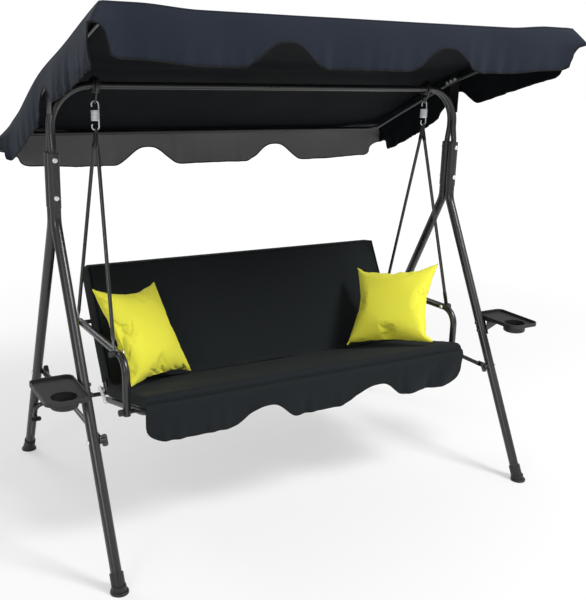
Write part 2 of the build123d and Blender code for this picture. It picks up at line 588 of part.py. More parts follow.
def build_seat_valance():
    """Scalloped front skirt of the seat cushion: three lobes and two hollows."""
    half = SEAT_CUSHION_HALF
    height = VALANCE_TOP_Z - VALANCE_HEM_Z
    sheet = Pos(0, VALANCE_HEM_Z + height / 2) * RectangleRounded(2 * half, height, 14)
    for x in (-0.35 * half, 0.35 * half):
        sheet -= Pos(x, VALANCE_HEM_Z) * Ellipse(95, VALANCE_HOLLOW)
    skirt = extrude(Plane.XZ.offset(361) * sheet, amount=SLING)
    skirt += Pos(0, -357.5, VALANCE_TOP_Z - 1) * Box(2 * half - 30, 8, 2)
    keep("seat_valance", skirt)


def build_seat_fasteners():
    """Knobbed bolts at each armrest joint, hinge plate bolts, and spacers beside the armrests."""
    bolts, knobs = [], []
    for sx in SIDES.values():
        plate_face = SEAT_HALF + SEAT_OD / 2 + 3
        for (y, z), half in ((hinge_points()[0], SEAT_HALF), (hinge_points()[1], BACK_HALF)):
            bolts.append(bolt((sx * plate_face, y, z), (sx * (half - SEAT_OD / 2), y, z)))
        rod_face = ROD_LOW_X + ROD_PLATE / 2
        arm_face = ARM_X + ARM_OD / 2
        stack = ((front_arm_bolt(), ARM_X - ARM_OD / 2, rod_face), (rear_arm_bolt(), BACK_HALF - SEAT_OD / 2, rod_face),
                 (low_arm_bolt(), SEAT_HALF - SEAT_OD / 2, arm_face))
        for (y, z), inner, outer in stack:
            bolts.append(bolt((sx * inner, y, z), (sx * (outer + 9), y, z), nut=False))
            grip = knob((sx * outer, y, z), (sx, 0, 0))
            knobs.append(grip - rod_between((sx * (outer - 1), y, z), (sx * (outer + 9), y, z), BOLT / 2))
    keep("seat_bolts", *bolts)
    keep("arm_knobs", *knobs)
    spacers = []
    for sx in SIDES.values():
        for (y, z), low in ((rear_arm_bolt(), BACK_HALF + SEAT_OD / 2), (low_arm_bolt(), SEAT_HALF + SEAT_OD / 2)):
            high = ARM_X - ARM_OD / 2
            ring = rod_between((sx * low, y, z), (sx * high, y, z), 7.5)
            spacers.append(ring - rod_between((sx * (low - 1), y, z), (sx * (high + 1), y, z), BOLT / 2))
    keep("arm_spacers", *spacers)


def build_pillows():
    """Plain solids of the two scatter pillows, each leaning in its corner of the seat."""
    poses = {"left": ((-500, -32, 644), 42, -30), "right": ((468, -112, 662), -52, -32)}
    for side, (centre, turn, lean) in poses.items():
        pillow = Box(PILLOW_SIZE, PILLOW_THICK, PILLOW_SIZE)
        pillow = fillet(pillow.edges(), PILLOW_THICK / 2 - 5)
        keep(f"pillow_{side}", Pos(*centre) * Rot(0, 0, turn) * Rot(lean, 0, 0) * pillow)


# --- Canopy -----------------------------------------------------------------------------
def side_point(start, end, distance):
    """Point in the Y-Z plane a distance along from start towards end."""
    size = math.dist(start, end)
    return tuple(a + (b - a) * distance / size for a, b in zip(start, end))


def build_canopy_frame():
    """Canopy's rectangle of tube: bent front and rear bars plugged on to the side tubes."""
    pivot_dir = math.degrees(math.atan2(CANOPY_FRONT[1] - CANOPY_REAR[1], CANOPY_REAR[0] - CANOPY_FRONT[0]))
    for name, end in (("front", CANOPY_FRONT), ("rear", CANOPY_REAR)):
        back = side_point(end, CANOPY_PIVOT, CANOPY_RETURN)
        points = [(-CANOPY_TUBE_X, *back), (-CANOPY_TUBE_X, *end), (CANOPY_TUBE_X, *end), (CANOPY_TUBE_X, *back)]
        bar = tube(points, (CANOPY_CORNER_R, CANOPY_CORNER_R), CANOPY_TUBE_OD, CANOPY_TUBE_WALL)
        keep(f"canopy_tube_{name}", bar)
    for side, sx in SIDES.items():
        x = sx * CANOPY_TUBE_X
        seam_front = side_point(CANOPY_FRONT, CANOPY_PIVOT, CANOPY_RETURN)
        seam_rear = side_point(CANOPY_REAR, CANOPY_PIVOT, CANOPY_RETURN)
        rail = tube([(x, *seam_front), (x, *CANOPY_PIVOT), (x, *seam_rear)], (200,), CANOPY_TUBE_OD, CANOPY_TUBE_WALL)
        for seam in (seam_front, seam_rear):
            end = CANOPY_FRONT if seam is seam_front else CANOPY_REAR
            plug_od = CANOPY_TUBE_OD - 2 * CANOPY_TUBE_WALL
            inner, outer = side_point(seam, CANOPY_PIVOT, 20), side_point(seam, end, 40)
            rail += tube([(x, *inner), (x, *outer)], (), plug_od, CANOPY_TUBE_WALL)
        for y, z, radius in canopy_bolts(pivot_dir):
            rail -= rod_between((x - 20, y, z), (x + 20, y, z), radius)
        keep(f"canopy_tube_{side}", rail)
    pins = []
    for sx in SIDES.values():
        for y, z, radius in canopy_bolts(pivot_dir):
            outer = BRACKET_X + BRACKET_THICK + 0.5
            pin = rod_between((sx * outer, y, z), (sx * (CANOPY_TUBE_X - 8), y, z), radius)
            pin += Plane(origin=(sx * outer, y, z), z_dir=(sx, 0, 0)) * dome(6, 4)
            nut = Plane(origin=(sx * (CANOPY_TUBE_X - 8), y, z), z_dir=(-sx, 0, 0)) * RegularPolygon(6.5, 6)
            pins.append(pin + extrude(nut, amount=5))
    keep("canopy_bolts", *pins)


def canopy_bolts(lean):
    """(Y, Z, radius) of the pivot and the two clamp bolts on a canopy side tube."""
    y, z = CANOPY_PIVOT
    dy, dz = SLOT_R * math.cos(math.radians(lean)), SLOT_R * math.sin(math.radians(lean))
    return ((y, z, 3.0), (y - dy, z + dz, 3.0), (y + dy, z - dz, 3.0))


def build_canopy_brackets():
    """Plates welded on the beam's bends, with a pivot hole and two curved clamp slots."""
    y, z = CANOPY_PIVOT
    lean = math.degrees(math.atan2(CANOPY_FRONT[1] - CANOPY_REAR[1], CANOPY_REAR[0] - CANOPY_FRONT[0]))
    low_z = 1360.0
    outline = Pos(y, z) * Circle(BRACKET_R) + Pos(y, (z + low_z) / 2) * Rectangle(2 * 27, z - low_z)
    slot = SlotArc(CenterArc((0, 0), SLOT_R, -lean - 2 + TILT_LOW, TILT_HIGH - TILT_LOW + 4), SLOT_WIDTH)
    outline -= [Pos(y, z) * slot, Pos(y, z) * Rot(0, 0, 180) * slot, Pos(y, z) * Circle(3.35)]
    for side, sx in SIDES.items():
        x = BRACKET_X if sx > 0 else -BRACKET_X - BRACKET_THICK
        plate = extrude(Plane.YZ.offset(x) * outline, amount=BRACKET_THICK)
        for sy in ENDS.values():
            plate -= tube(beam_points(sx, sy), (BEAM_BEND_R, 60, 60), BEAM_OD)
        keep(f"canopy_bracket_{side}", plate)


def build_canopy_cover():
    """Fabric cover: a shell open below, with scalloped skirts on all four sides."""
    front, rear = CANOPY_PROFILE[0], CANOPY_PROFILE[-1]
    t = CANOPY_SHEET
    hem = ((rear[0], rear[1] - REAR_DEPTH), (0, 1378.0), (front[0], front[1] - FRONT_DEPTH))
    outer = prism(Plane.XY, Polyline(*CANOPY_PROFILE, *hem, close=True), CANOPY_HALF)
    top = [(y, z - t * 1.06) for y, z in CANOPY_PROFILE]
    top[0] = (front[0] + t, top[0][1])
    top[-1] = (rear[0] - t, top[-1][1])
    inner = prism(Plane.XY, Polyline(*top, (rear[0] - t, 900), (front[0] + t, 900), close=True), CANOPY_HALF - t)
    cover = outer - inner
    for x in (-0.35 * CANOPY_HALF, 0.35 * CANOPY_HALF):
        for y, z, depth in ((*front, FRONT_DEPTH), (*rear, REAR_DEPTH)):
            cut = Plane(origin=(x, y + 20, z - depth), x_dir=(1, 0, 0), z_dir=(0, -1, 0)) * Ellipse(115, HOLLOW)
            cover -= extrude(cut, amount=40)
    for sx in SIDES.values():
        cut = Plane(origin=(sx * CANOPY_HALF - 20, 0, 1372), x_dir=(0, 1, 0), z_dir=(1, 0, 0)) * Ellipse(95, HOLLOW)
        cover -= extrude(cut, amount=40)
    keep("canopy_cover", cover)


def main():
    os.makedirs("parts", exist_ok=True)
    for build in (build_legs, build_foot_caps, build_sockets, build_beam, build_braces, build_crossbar,
                  build_brace_fasteners, build_trays, build_hangers, build_rods, build_armrests,
                  build_seat_frames, build_hinge_plates, build_slings, build_cushions, build_seat_valance,
                  build_seat_fasteners, build_pillows, build_canopy_frame, build_canopy_brackets,
                  build_canopy_cover):
        build()
    for name, shape in NODES.items():
        export_step(shape, f"parts/{name}.step")


main()
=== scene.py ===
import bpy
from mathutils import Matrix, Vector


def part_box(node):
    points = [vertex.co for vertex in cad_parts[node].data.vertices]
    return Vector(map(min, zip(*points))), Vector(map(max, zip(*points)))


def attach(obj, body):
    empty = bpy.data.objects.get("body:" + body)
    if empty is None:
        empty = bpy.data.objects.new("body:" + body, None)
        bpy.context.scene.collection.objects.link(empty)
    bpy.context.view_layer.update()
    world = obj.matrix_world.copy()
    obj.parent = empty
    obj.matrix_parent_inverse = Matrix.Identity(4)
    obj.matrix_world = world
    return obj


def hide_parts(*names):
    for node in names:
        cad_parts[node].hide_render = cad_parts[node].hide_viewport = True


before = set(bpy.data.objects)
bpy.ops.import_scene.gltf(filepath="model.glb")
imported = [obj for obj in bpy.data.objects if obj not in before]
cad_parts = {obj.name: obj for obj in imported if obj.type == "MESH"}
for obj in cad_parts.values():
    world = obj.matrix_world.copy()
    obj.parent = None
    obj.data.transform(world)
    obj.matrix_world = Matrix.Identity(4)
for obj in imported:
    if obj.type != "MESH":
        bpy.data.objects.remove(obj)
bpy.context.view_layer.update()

"""Looks of a porch swing: stand and hardware finishes, sewn canopy, slings, cushions, pillows.

Metres, +X to the right of a person facing the seat, +Y to the back, +Z up, origin on the floor.
Every cloth piece is a grid of points worked out from two parameters, cloth-simulated where it is
stuffed. Patterns read a UV map laid out in metres on the flat cloth, or Object coordinates.
"""
import math

import bmesh
import bpy
import numpy as np
from mathutils import Matrix, Vector

SEED = 41


# --- Meshes ---------------------------------------------------------------------------------
def grid_faces(rows, cols, wrap=False):
    """Quads between neighbouring rows and columns of points stored row by row."""
    i, j = np.meshgrid(np.arange(rows - 1), np.arange(cols if wrap else cols - 1), indexing="ij")
    k = (j + 1) % cols
    return np.stack([i * cols + j, i * cols + k, (i + 1) * cols + k, (i + 1) * cols + j], -1).reshape(-1, 4)


def table_faces(table, wrap=False):
    """Quads between neighbouring entries of a table of point numbers."""
    beside = np.roll(table, -1, 1)
    if not wrap:
        table, beside = table[:, :-1], beside[:, :-1]
    return np.stack([table[:-1], table[1:], beside[1:], beside[:-1]], -1).reshape(-1, 4)


def new_piece(name, points, faces, materials, uv):
    """Smooth mesh object from an array of points and a list of faces, with its cloth map in metres."""
    mesh = bpy.data.meshes.new(name)
    mesh.from_pydata(np.asarray(points, float).reshape(-1, 3).tolist(), [], faces)
    layer = mesh.uv_layers.new(name="cloth")
    corner = np.zeros(len(mesh.loops), int)
    mesh.loops.foreach_get("vertex_index", corner)
    layer.data.foreach_set("uv", np.asarray(uv, float).reshape(-1, 2)[corner].ravel())
    mesh.polygons.foreach_set("use_smooth", np.ones(len(mesh.polygons), bool))
    for material in materials:
        mesh.materials.append(material)
    piece = bpy.data.objects.new(name, mesh)
    bpy.context.scene.collection.objects.link(piece)
    return piece


def places(piece):
    """Points of a piece's mesh as an array."""
    out = np.zeros(len(piece.data.vertices) * 3)
    piece.data.vertices.foreach_get("co", out)
    return out.reshape(-1, 3)


def move_to(piece, points):
    """Put an array of points back into a piece's mesh."""
    piece.data.vertices.foreach_set("co", np.asarray(points, float).ravel())
    piece.data.update()


def normals_of(piece):
    """Vertex normals of a piece's mesh as an array."""
    return np.array([n.vector for n in piece.data.vertex_normals])


def apply_modifiers(piece):
    """Replace a piece's mesh by what its modifiers make of it, and drop the modifiers."""
    graph = bpy.context.evaluated_depsgraph_get()
    mesh = bpy.data.meshes.new_from_object(piece.evaluated_get(graph), depsgraph=graph)
    piece.modifiers.clear()
    piece.data = mesh


def thicken(piece, thickness, inner_slot=0, offset=0.0):
    """Give a sheet its two faces and its edge; offset -1 grows it inward only, 0 to both sides."""
    wall = piece.modifiers.new("thickness", "SOLIDIFY")
    wall.thickness, wall.offset = thickness, offset
    wall.material_offset, wall.material_offset_rim = inner_slot, 0
    wall.use_even_offset = False


def piping(name, path, radius, material, closed=True, sides=8):
    """Round cord along a closed or open line of points: a circle carried along the line, square to
    it, with its first axis kept as near to up as the line allows."""
    path = np.asarray(path, float)
    ahead = np.roll(path, -1, 0) - np.roll(path, 1, 0)
    if not closed:
        ahead[0], ahead[-1] = path[1] - path[0], path[-1] - path[-2]
    ahead /= np.linalg.norm(ahead, axis=1, keepdims=True)
    side = np.cross(ahead, np.where(np.abs(ahead[:, 2:]) > 0.9, [[1.0, 0, 0]], [[0, 0, 1.0]]))
    side /= np.linalg.norm(side, axis=1, keepdims=True)
    up = np.cross(side, ahead)
    turn = np.linspace(0, 2 * np.pi, sides, endpoint=False)[:, None]
    ring = path[:, None] + radius * (np.cos(turn) * side[:, None] + np.sin(turn) * up[:, None])
    rows, points = len(path), ring.reshape(-1, 3)
    along = np.repeat(np.cumsum(np.r_[0, np.linalg.norm(np.diff(path, axis=0), axis=1)]), sides)
    around = np.tile(np.arange(sides) * 2 * np.pi * radius / sides, rows)
    uv = np.stack([along, around], -1)
    first = np.arange(sides)
    last = first + (rows - 1) * sides
    faces = grid_faces(rows, sides, wrap=True).tolist()
    if closed:
        faces += np.stack([last, np.roll(last, -1), np.roll(first, -1), first], -1).tolist()
    else:
        start, end = rows * sides, rows * sides + 1
        points = np.vstack([points, path[0], path[-1]])
        uv = np.vstack([uv, [[0, 0], [along[-1], 0]]])
        faces += [[start, j, (j + 1) % sides] for j in first]
        faces += [[end, last[(j + 1) % sides], last[j]] for j in first]
    cord = new_piece(name, points, faces, [material], uv)
    face_out(cord.data)
    return cord


def eased(path, rounds=3):
    """Open line of points with its corners rounded: each inner point moves to the mean of itself
    and its neighbours, a few times over."""
    path = np.array(path, float)
    for _ in range(rounds):
        path[1:-1] = (path[:-2] + path[1:-1] + path[2:]) / 3
    return path


def face_out(mesh):
    """Turn every face of a closed mesh outward."""
    work = bmesh.new()
    work.from_mesh(mesh)
    bmesh.ops.recalc_face_normals(work, faces=work.faces)
    work.to_mesh(mesh)
    work.free()


def wander(x, scale, rng):
    """Smooth uneven wave of x, mostly in -1 to 1: seven sines whose lengths scatter round scale."""
    lengths = scale * rng.uniform(0.6, 1.8, 7)
    phases = rng.uniform(0, 2 * np.pi, 7)
    total = sum(np.sin(2 * np.pi * np.asarray(x) / k + p) for k, p in zip(lengths, phases))
    return total / np.sqrt(7)


def step(x, low, high):
    """0 below low, 1 above high, and a smooth S between: 3t^2 - 2t^3."""
    t = np.clip((np.asarray(x, float) - low) / (high - low), 0, 1)
    return t * t * (3 - 2 * t)


def dense_ends(half, fine, coarse, reach):
    """Stations from -half to half, fine apart within reach of each end and coarse between."""
    near = np.arange(0, reach, fine)
    count = int(round((2 * half - 2 * reach) / coarse))
    middle = np.linspace(-half + reach, half - reach, count + 1)
    return np.r_[-half + near, middle, (half - near)[::-1]]


# --- Shared pattern groups -----------------------------------------------------------------
def group(name, inputs, outputs):
    """Empty node group with named float, colour or vector sockets and its two end nodes."""
    tree = bpy.data.node_groups.new(name, "ShaderNodeTree")
    for label, kind, value in inputs:
        socket = tree.interface.new_socket(label, in_out="INPUT", socket_type="NodeSocket" + kind)
        if value is not None:
            socket.default_value = value
    for label, kind in outputs:
        tree.interface.new_socket(label, in_out="OUTPUT", socket_type="NodeSocket" + kind)
    return tree, tree.nodes.new("NodeGroupInput"), tree.nodes.new("NodeGroupOutput")


def feed(tree, socket, value):
    """Link a socket to another one, or give it a constant."""
    if isinstance(value, bpy.types.NodeSocket):
        tree.links.new(value, socket)
    else:
        socket.default_value = value


def math_node(tree, operation, *values):
    """Math node fed with sockets or numbers; returns its result socket."""
    node = tree.nodes.new("ShaderNodeMath")
    node.operation = operation
    for socket, value in zip(node.inputs, values):
        feed(tree, socket, value)
    return node.outputs[0]


def range_node(tree, value, from_min, from_max, to_min, to_max):
    """Map Range node with its four limits; returns its result socket."""
    node = tree.nodes.new("ShaderNodeMapRange")
    for label, one in (("Value", value), ("From Min", from_min), ("From Max", from_max),
                       ("To Min", to_min), ("To Max", to_max)):
        feed(tree, node.inputs[label], one)
    return node.outputs[0]


def clamp_node(tree, value):
    """Value held between 0 and 1."""
    node = tree.nodes.new("ShaderNodeClamp")
    tree.links.new(value, node.inputs[0])
    return node.outputs[0]


def noise_node(tree, vector, scale, detail=3.0, rough=0.55):
    """Noise texture's 0 to 1 value at a vector socket."""
    node = tree.nodes.new("ShaderNodeTexNoise")
    tree.links.new(vector, node.inputs["Vector"])
    for label, value in (("Scale", scale), ("Detail", detail), ("Roughness", rough)):
        feed(tree, node.inputs[label], value)
    return node.outputs["Fac"]


def mix_colour(tree, factor, first, second):
    """Colour between two, by a factor socket or number."""
    node = tree.nodes.new("ShaderNodeMix")
    node.data_type = "RGBA"
    for socket, value in ((node.inputs[0], factor), (node.inputs[6], first), (node.inputs[7], second)):
        feed(tree, socket, value)
    return node.outputs[2]


def make_weave():
    """Plain weave from a cloth map in metres. With t the thread spacing, warp rises as
    |sin(pi u/t)| and weft as |sin(pi v/t)|; a checker of the two says which lies on top."""
    tree, enter, leave = group(
        "plain_weave",
        [("Cloth", "Vector", None), ("Threads per metre", "Float", 900.0), ("Slub", "Float", 0.5)],
        [("Height", "Float"), ("Shade", "Float"), ("Cloud", "Float")])
    split = tree.nodes.new("ShaderNodeSeparateXYZ")
    tree.links.new(enter.outputs["Cloth"], split.inputs[0])
    waves = []
    for axis in (0, 1):
        turns = math_node(tree, "MULTIPLY", split.outputs[axis], enter.outputs["Threads per metre"])
        waves.append(math_node(tree, "SINE", math_node(tree, "MULTIPLY", turns, math.pi)))
    warp, weft = (math_node(tree, "ABSOLUTE", wave) for wave in waves)
    over = math_node(tree, "GREATER_THAN", math_node(tree, "MULTIPLY", *waves), 0.0)
    under = math_node(tree, "SUBTRACT", 1.0, over)
    height = math_node(tree, "ADD", math_node(tree, "MULTIPLY", warp, over),
                       math_node(tree, "MULTIPLY", weft, under))
    stretch = tree.nodes.new("ShaderNodeVectorMath")
    stretch.operation = "MULTIPLY"
    stretch.inputs[1].default_value = (1.0, 12.0, 1.0)
    tree.links.new(enter.outputs["Cloth"], stretch.inputs[0])
    slub = noise_node(tree, stretch.outputs[0], 110.0, 2.0)
    # Thread height, which paints shade into the gaps between threads, plus the threads' own slub tone.
    shade = math_node(tree, "MULTIPLY_ADD", slub, enter.outputs["Slub"], height)
    cloud = noise_node(tree, enter.outputs["Cloth"], 6.0, 4.0)
    tree.links.new(height, leave.inputs["Height"])
    tree.links.new(shade, leave.inputs["Shade"])
    tree.links.new(cloud, leave.inputs["Cloud"])
    return tree


def make_skin():
    """Finish of hard parts from Object coordinates: Fine is the orange peel or moulded grain as a
    height, Patch a broad unevenness, and Scuff a mask of small rubbed spots."""
    tree, enter, leave = group(
        "hard_skin", [("Place", "Vector", None), ("Grain per metre", "Float", 700.0), ("Wear", "Float", 0.5)],
        [("Fine", "Float"), ("Patch", "Float"), ("Scuff", "Float")])
    fine = noise_node(tree, enter.outputs["Place"], enter.outputs["Grain per metre"], 2.0)
    patch = noise_node(tree, enter.outputs["Place"], 9.0, 4.0)
    spots = noise_node(tree, enter.outputs["Place"], 130.0, 5.0, 0.7)
    edge = tree.nodes.new("ShaderNodeNewGeometry")
    raised = math_node(tree, "SUBTRACT", edge.outputs["Pointiness"], 0.52)
    raised = math_node(tree, "MULTIPLY", raised, 9.0)
    raised = math_node(tree, "MULTIPLY", raised, enter.outputs["Wear"])
    scuff = math_node(tree, "MULTIPLY_ADD", spots, 1.4, -0.92)
    scuff = clamp_node(tree, math_node(tree, "ADD", scuff, raised))
    tree.links.new(fine, leave.inputs["Fine"])
    tree.links.new(patch, leave.inputs["Patch"])
    tree.links.new(scuff, leave.inputs["Scuff"])
    return tree


WEAVE, SKIN = make_weave(), make_skin()


def start_material(name, tree_group, source):
    """New material with its Principled shader and one pattern group fed by a coordinate."""
    material = bpy.data.materials.new(name)
    material.use_nodes = True
    tree = material.node_tree
    shader = tree.nodes["Principled BSDF"]
    coords = tree.nodes.new("ShaderNodeTexCoord")
    if source == "UV":
        coords = tree.nodes.new("ShaderNodeUVMap")
        coords.uv_map = "cloth"
    pattern = tree.nodes.new("ShaderNodeGroup")
    pattern.node_tree = tree_group
    tree.links.new(coords.outputs[source], pattern.inputs[0])
    return material, tree, shader, pattern


def bump(tree, shader, height, depth, strength):
    """Feed a height in metres times depth to the shader's normal."""
    node = tree.nodes.new("ShaderNodeBump")
    node.inputs["Distance"].default_value = depth
    node.inputs["Strength"].default_value = strength
    tree.links.new(height, node.inputs["Height"])
    tree.links.new(node.outputs["Normal"], shader.inputs["Normal"])


def cloth_material(name, dark, light, threads, slub, rough, sheen=0.0, tint=(1, 1, 1, 1), relief=0.0003):
    """Woven cloth: colour runs from dark in the gap between threads to light at the thread's top, painted
    shade in the gaps plus the threads' own slub tone; it drifts with the cloud, and the threads stand up by
    relief."""
    material, tree, shader, weave = start_material(name, WEAVE, "UV")
    weave.inputs["Threads per metre"].default_value = threads
    weave.inputs["Slub"].default_value = slub
    # Colour darkens towards the thread gaps as painted shade; the slub part is real tone in the thread.
    shade = math_node(tree, "MULTIPLY", weave.outputs["Shade"], 0.62)
    thread = mix_colour(tree, shade, dark, light)
    drift = clamp_node(tree, math_node(tree, "MULTIPLY_ADD", weave.outputs["Cloud"], 1.6, -0.45))
    cloudy = mix_colour(tree, drift, thread, light)
    tree.links.new(mix_colour(tree, 0.32, thread, cloudy), shader.inputs["Base Color"])
    uneven = math_node(tree, "MULTIPLY_ADD", weave.outputs["Cloud"], 0.16, rough - 0.08)
    tree.links.new(uneven, shader.inputs["Roughness"])
    shader.inputs["Sheen Weight"].default_value = sheen
    shader.inputs["Sheen Roughness"].default_value = 0.45
    shader.inputs["Sheen Tint"].default_value = tint
    shader.inputs["Specular IOR Level"].default_value = 0.12
    bump(tree, shader, weave.outputs["Height"], relief, 0.6)
    return material


def hard_material(name, base, worn, metallic, rough, grain, wear=0.5, relief=0.00008, coat=0.0):
    """Painted, plated or moulded finish: base colour broken by patches and rubbed spots."""
    material, tree, shader, skin = start_material(name, SKIN, "Object")
    skin.inputs["Grain per metre"].default_value = grain
    skin.inputs["Wear"].default_value = wear
    lighter = tuple(min(1.0, c * 1.35 + 0.004) for c in base[:3]) + (1.0,)
    patchy = mix_colour(tree, skin.outputs["Patch"], base, lighter)
    rubbed = math_node(tree, "MULTIPLY", skin.outputs["Scuff"], 0.55)
    tree.links.new(mix_colour(tree, rubbed, patchy, worn), shader.inputs["Base Color"])
    uneven = math_node(tree, "MULTIPLY_ADD", skin.outputs["Patch"], 0.14, rough - 0.07)
    tree.links.new(uneven, shader.inputs["Roughness"])
    shader.inputs["Metallic"].default_value = metallic
    shader.inputs["Coat Weight"].default_value = coat
    shader.inputs["Coat Roughness"].default_value = 0.25
    bump(tree, shader, skin.outputs["Fine"], relief, 0.5)
    return material


def grey(value):
    """Neutral colour."""
    return value, value, value, 1


STEEL = hard_material("black_powder_coat", (0.012, 0.012, 0.014, 1), (0.045, 0.045, 0.048, 1),
                      0.0, 0.33, 900.0, coat=0.45)
ZINC = hard_material("bright_zinc", (0.84, 0.87, 0.90, 1), (0.95, 0.96, 0.98, 1), 0.55, 0.34, 500.0, 0.3)
PLASTIC = hard_material("moulded_black", (0.012, 0.012, 0.013, 1), (0.04, 0.04, 0.042, 1),
                        0.0, 0.46, 1500.0, 0.6, relief=0.00015)
NYLON = hard_material("black_nylon", grey(0.014), grey(0.04), 0.0, 0.5, 1200.0)
CANOPY = cloth_material("canopy_polyester", (0.0085, 0.0110, 0.0175, 1), (0.0215, 0.0275, 0.0430, 1),
                        700.0, 0.3, 0.74, 0.04, (0.75, 0.85, 1, 1))
# Inner faces of the roof and of the front and side skirts: the canopy cloth darkened to paint the shade under
# the roof.
SHADED_UNDERSIDE = cloth_material("canopy_underside_painted_shade", (0.0015, 0.0026, 0.0036, 1), (0.0052, 0.0078, 0.0098, 1),
                        700.0, 0.3, 0.85)
# Inner faces of the rear skirt: pale grey that paints light showing through the cloth from behind; the cloth
# is the canopy's own.
LIT_THROUGH_SKIRT = cloth_material("rear_skirt_inside_painted_light", (0.060, 0.059, 0.063, 1), (0.21, 0.206, 0.212, 1),
                      700.0, 0.6, 0.85)
CUSHION = cloth_material("cushion_polyester", (0.0065, 0.0082, 0.0092, 1), (0.0180, 0.0220, 0.0245, 1),
                         620.0, 0.5, 0.8, 0.03, relief=0.0004)
YELLOW = cloth_material("pillow_polyester", (0.80, 0.75, 0.020, 1), (0.96, 0.94, 0.11, 1),
                        620.0, 0.35, 0.8, 0.15, (1, 1, 0.7, 1), 0.0004)
MESH = cloth_material("sling_mesh", grey(0.004), (0.035, 0.036, 0.038, 1), 420.0, 0.2, 0.6, relief=0.0006)
BINDING = cloth_material("black_binding", (0.004, 0.004, 0.005, 1), (0.016, 0.017, 0.019, 1),
                         500.0, 0.4, 0.8, 0.05)

BLACK_BOLTS = ("beam_bolts", "tray_bolts")
ZINC_NODES = ("spring_", "hinge_plates", "bolts")
PLASTIC_NODES = ("foot_caps", "side_tray", "knobs", "arm_spacers", "socket_bushes")
for node_name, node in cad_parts.items():
    finish = STEEL
    if node_name not in BLACK_BOLTS and any(word in node_name for word in ZINC_NODES):
        finish = ZINC
    elif any(word in node_name for word in PLASTIC_NODES):
        finish = PLASTIC
    elif "saddles" in node_name:
        finish = NYLON
    for place in node.material_slots:
        place.material = finish


# --- Canopy --------------------------------------------------------------------------------
lo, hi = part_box("canopy_cover")
# Edges of the cloth inside the CAD cover, the roof's two bends as (y, z), and its rear edge's height.
HALF_W, FRONT_Y, REAR_Y, ROOF_TOP = hi.x - 0.001, lo.y + 0.001, hi.y - 0.001, hi.z
FRONT_BEND, REAR_BEND, REAR_Z = (-0.035, 1.516), (0.025, 1.511), 1.268
# Middle of a bay, drop of the front and rear skirts, and the side hem's height under the pivot.
HOLLOW_X, SKIRT_FRONT, SKIRT_REAR, SIDE_HEM_Z = 0.35 * HALF_W, 0.140, 0.138, 1.378
# Rounding of the roof's bend over the pivot, the cloth's clearance above the roof line, and the rows down
# each skirt.
BEND_ROUNDING, CLEAR, SKIRT_ROWS = 0.012, 0.002, 26


def roof_line(y):
    """Height of the roof over y: a soft minimum of two straight slopes, the log of the sum of their
    exponentials, which rounds the bend over the pivot."""
    y = np.asarray(y, float)
    front = ROOF_TOP + (y - FRONT_Y) * (FRONT_BEND[1] - ROOF_TOP) / (FRONT_BEND[0] - FRONT_Y)
    rear = REAR_Z + (y - REAR_Y) * (REAR_BEND[1] - REAR_Z) / (REAR_BEND[0] - REAR_Y)
    low = np.log(np.exp(-front / BEND_ROUNDING) + np.exp(-rear / BEND_ROUNDING))
    return -BEND_ROUNDING * low + CLEAR


def notch(distance, width, power):
    """1 at a corner, 0 beyond width along the skirt, rounder at the top as power grows."""
    return np.clip(1 - (np.abs(distance) / width) ** power, 0, 1) ** 0.5


def arch(distance, half_width):
    """Bay between two lobes: a fifth-order S on each side, flat at its top and its feet."""
    t = np.clip(np.abs(distance) / half_width, 0, 1)
    return 1 - t ** 3 * (10 - 15 * t + 6 * t ** 2)


def skirt_depth(x, y, side):
    """Length of the skirt below the roof's edge: the hem's line less the bays, the corner notches and
    a quarter round where a lobe meets a notch."""
    if side in ("front", "rear"):
        full = SKIRT_FRONT - 0.007 * step(np.abs(x), 0.50, 0.90) if side == "front" else SKIRT_REAR
        bays = 0.070 * (arch(x - HOLLOW_X, 0.150) + arch(x + HOLLOW_X, 0.150))
        gap = HALF_W - np.abs(x)
        width, power = (0.028, 2.4) if side == "front" else (0.050, 1.5)
    else:
        ends = ROOF_TOP - SKIRT_FRONT, SIDE_HEM_Z, REAR_Z - SKIRT_REAR
        full = roof_line(y) - np.interp(y, (FRONT_Y, 0.0, REAR_Y), ends)
        bays = 0.066 * arch(y, 0.135)
        gap = np.minimum(y - FRONT_Y, REAR_Y - y)
        width, power = 0.060, 2.6
    turned = 1 - np.clip((gap - width) / 0.026, 0, 1)
    depth = full - bays - 0.022 * (1 - np.sqrt(1 - turned ** 2))
    apex = np.where(y < 0, 0.050, 0.085)
    return depth + (apex - depth) * notch(gap, width, power)


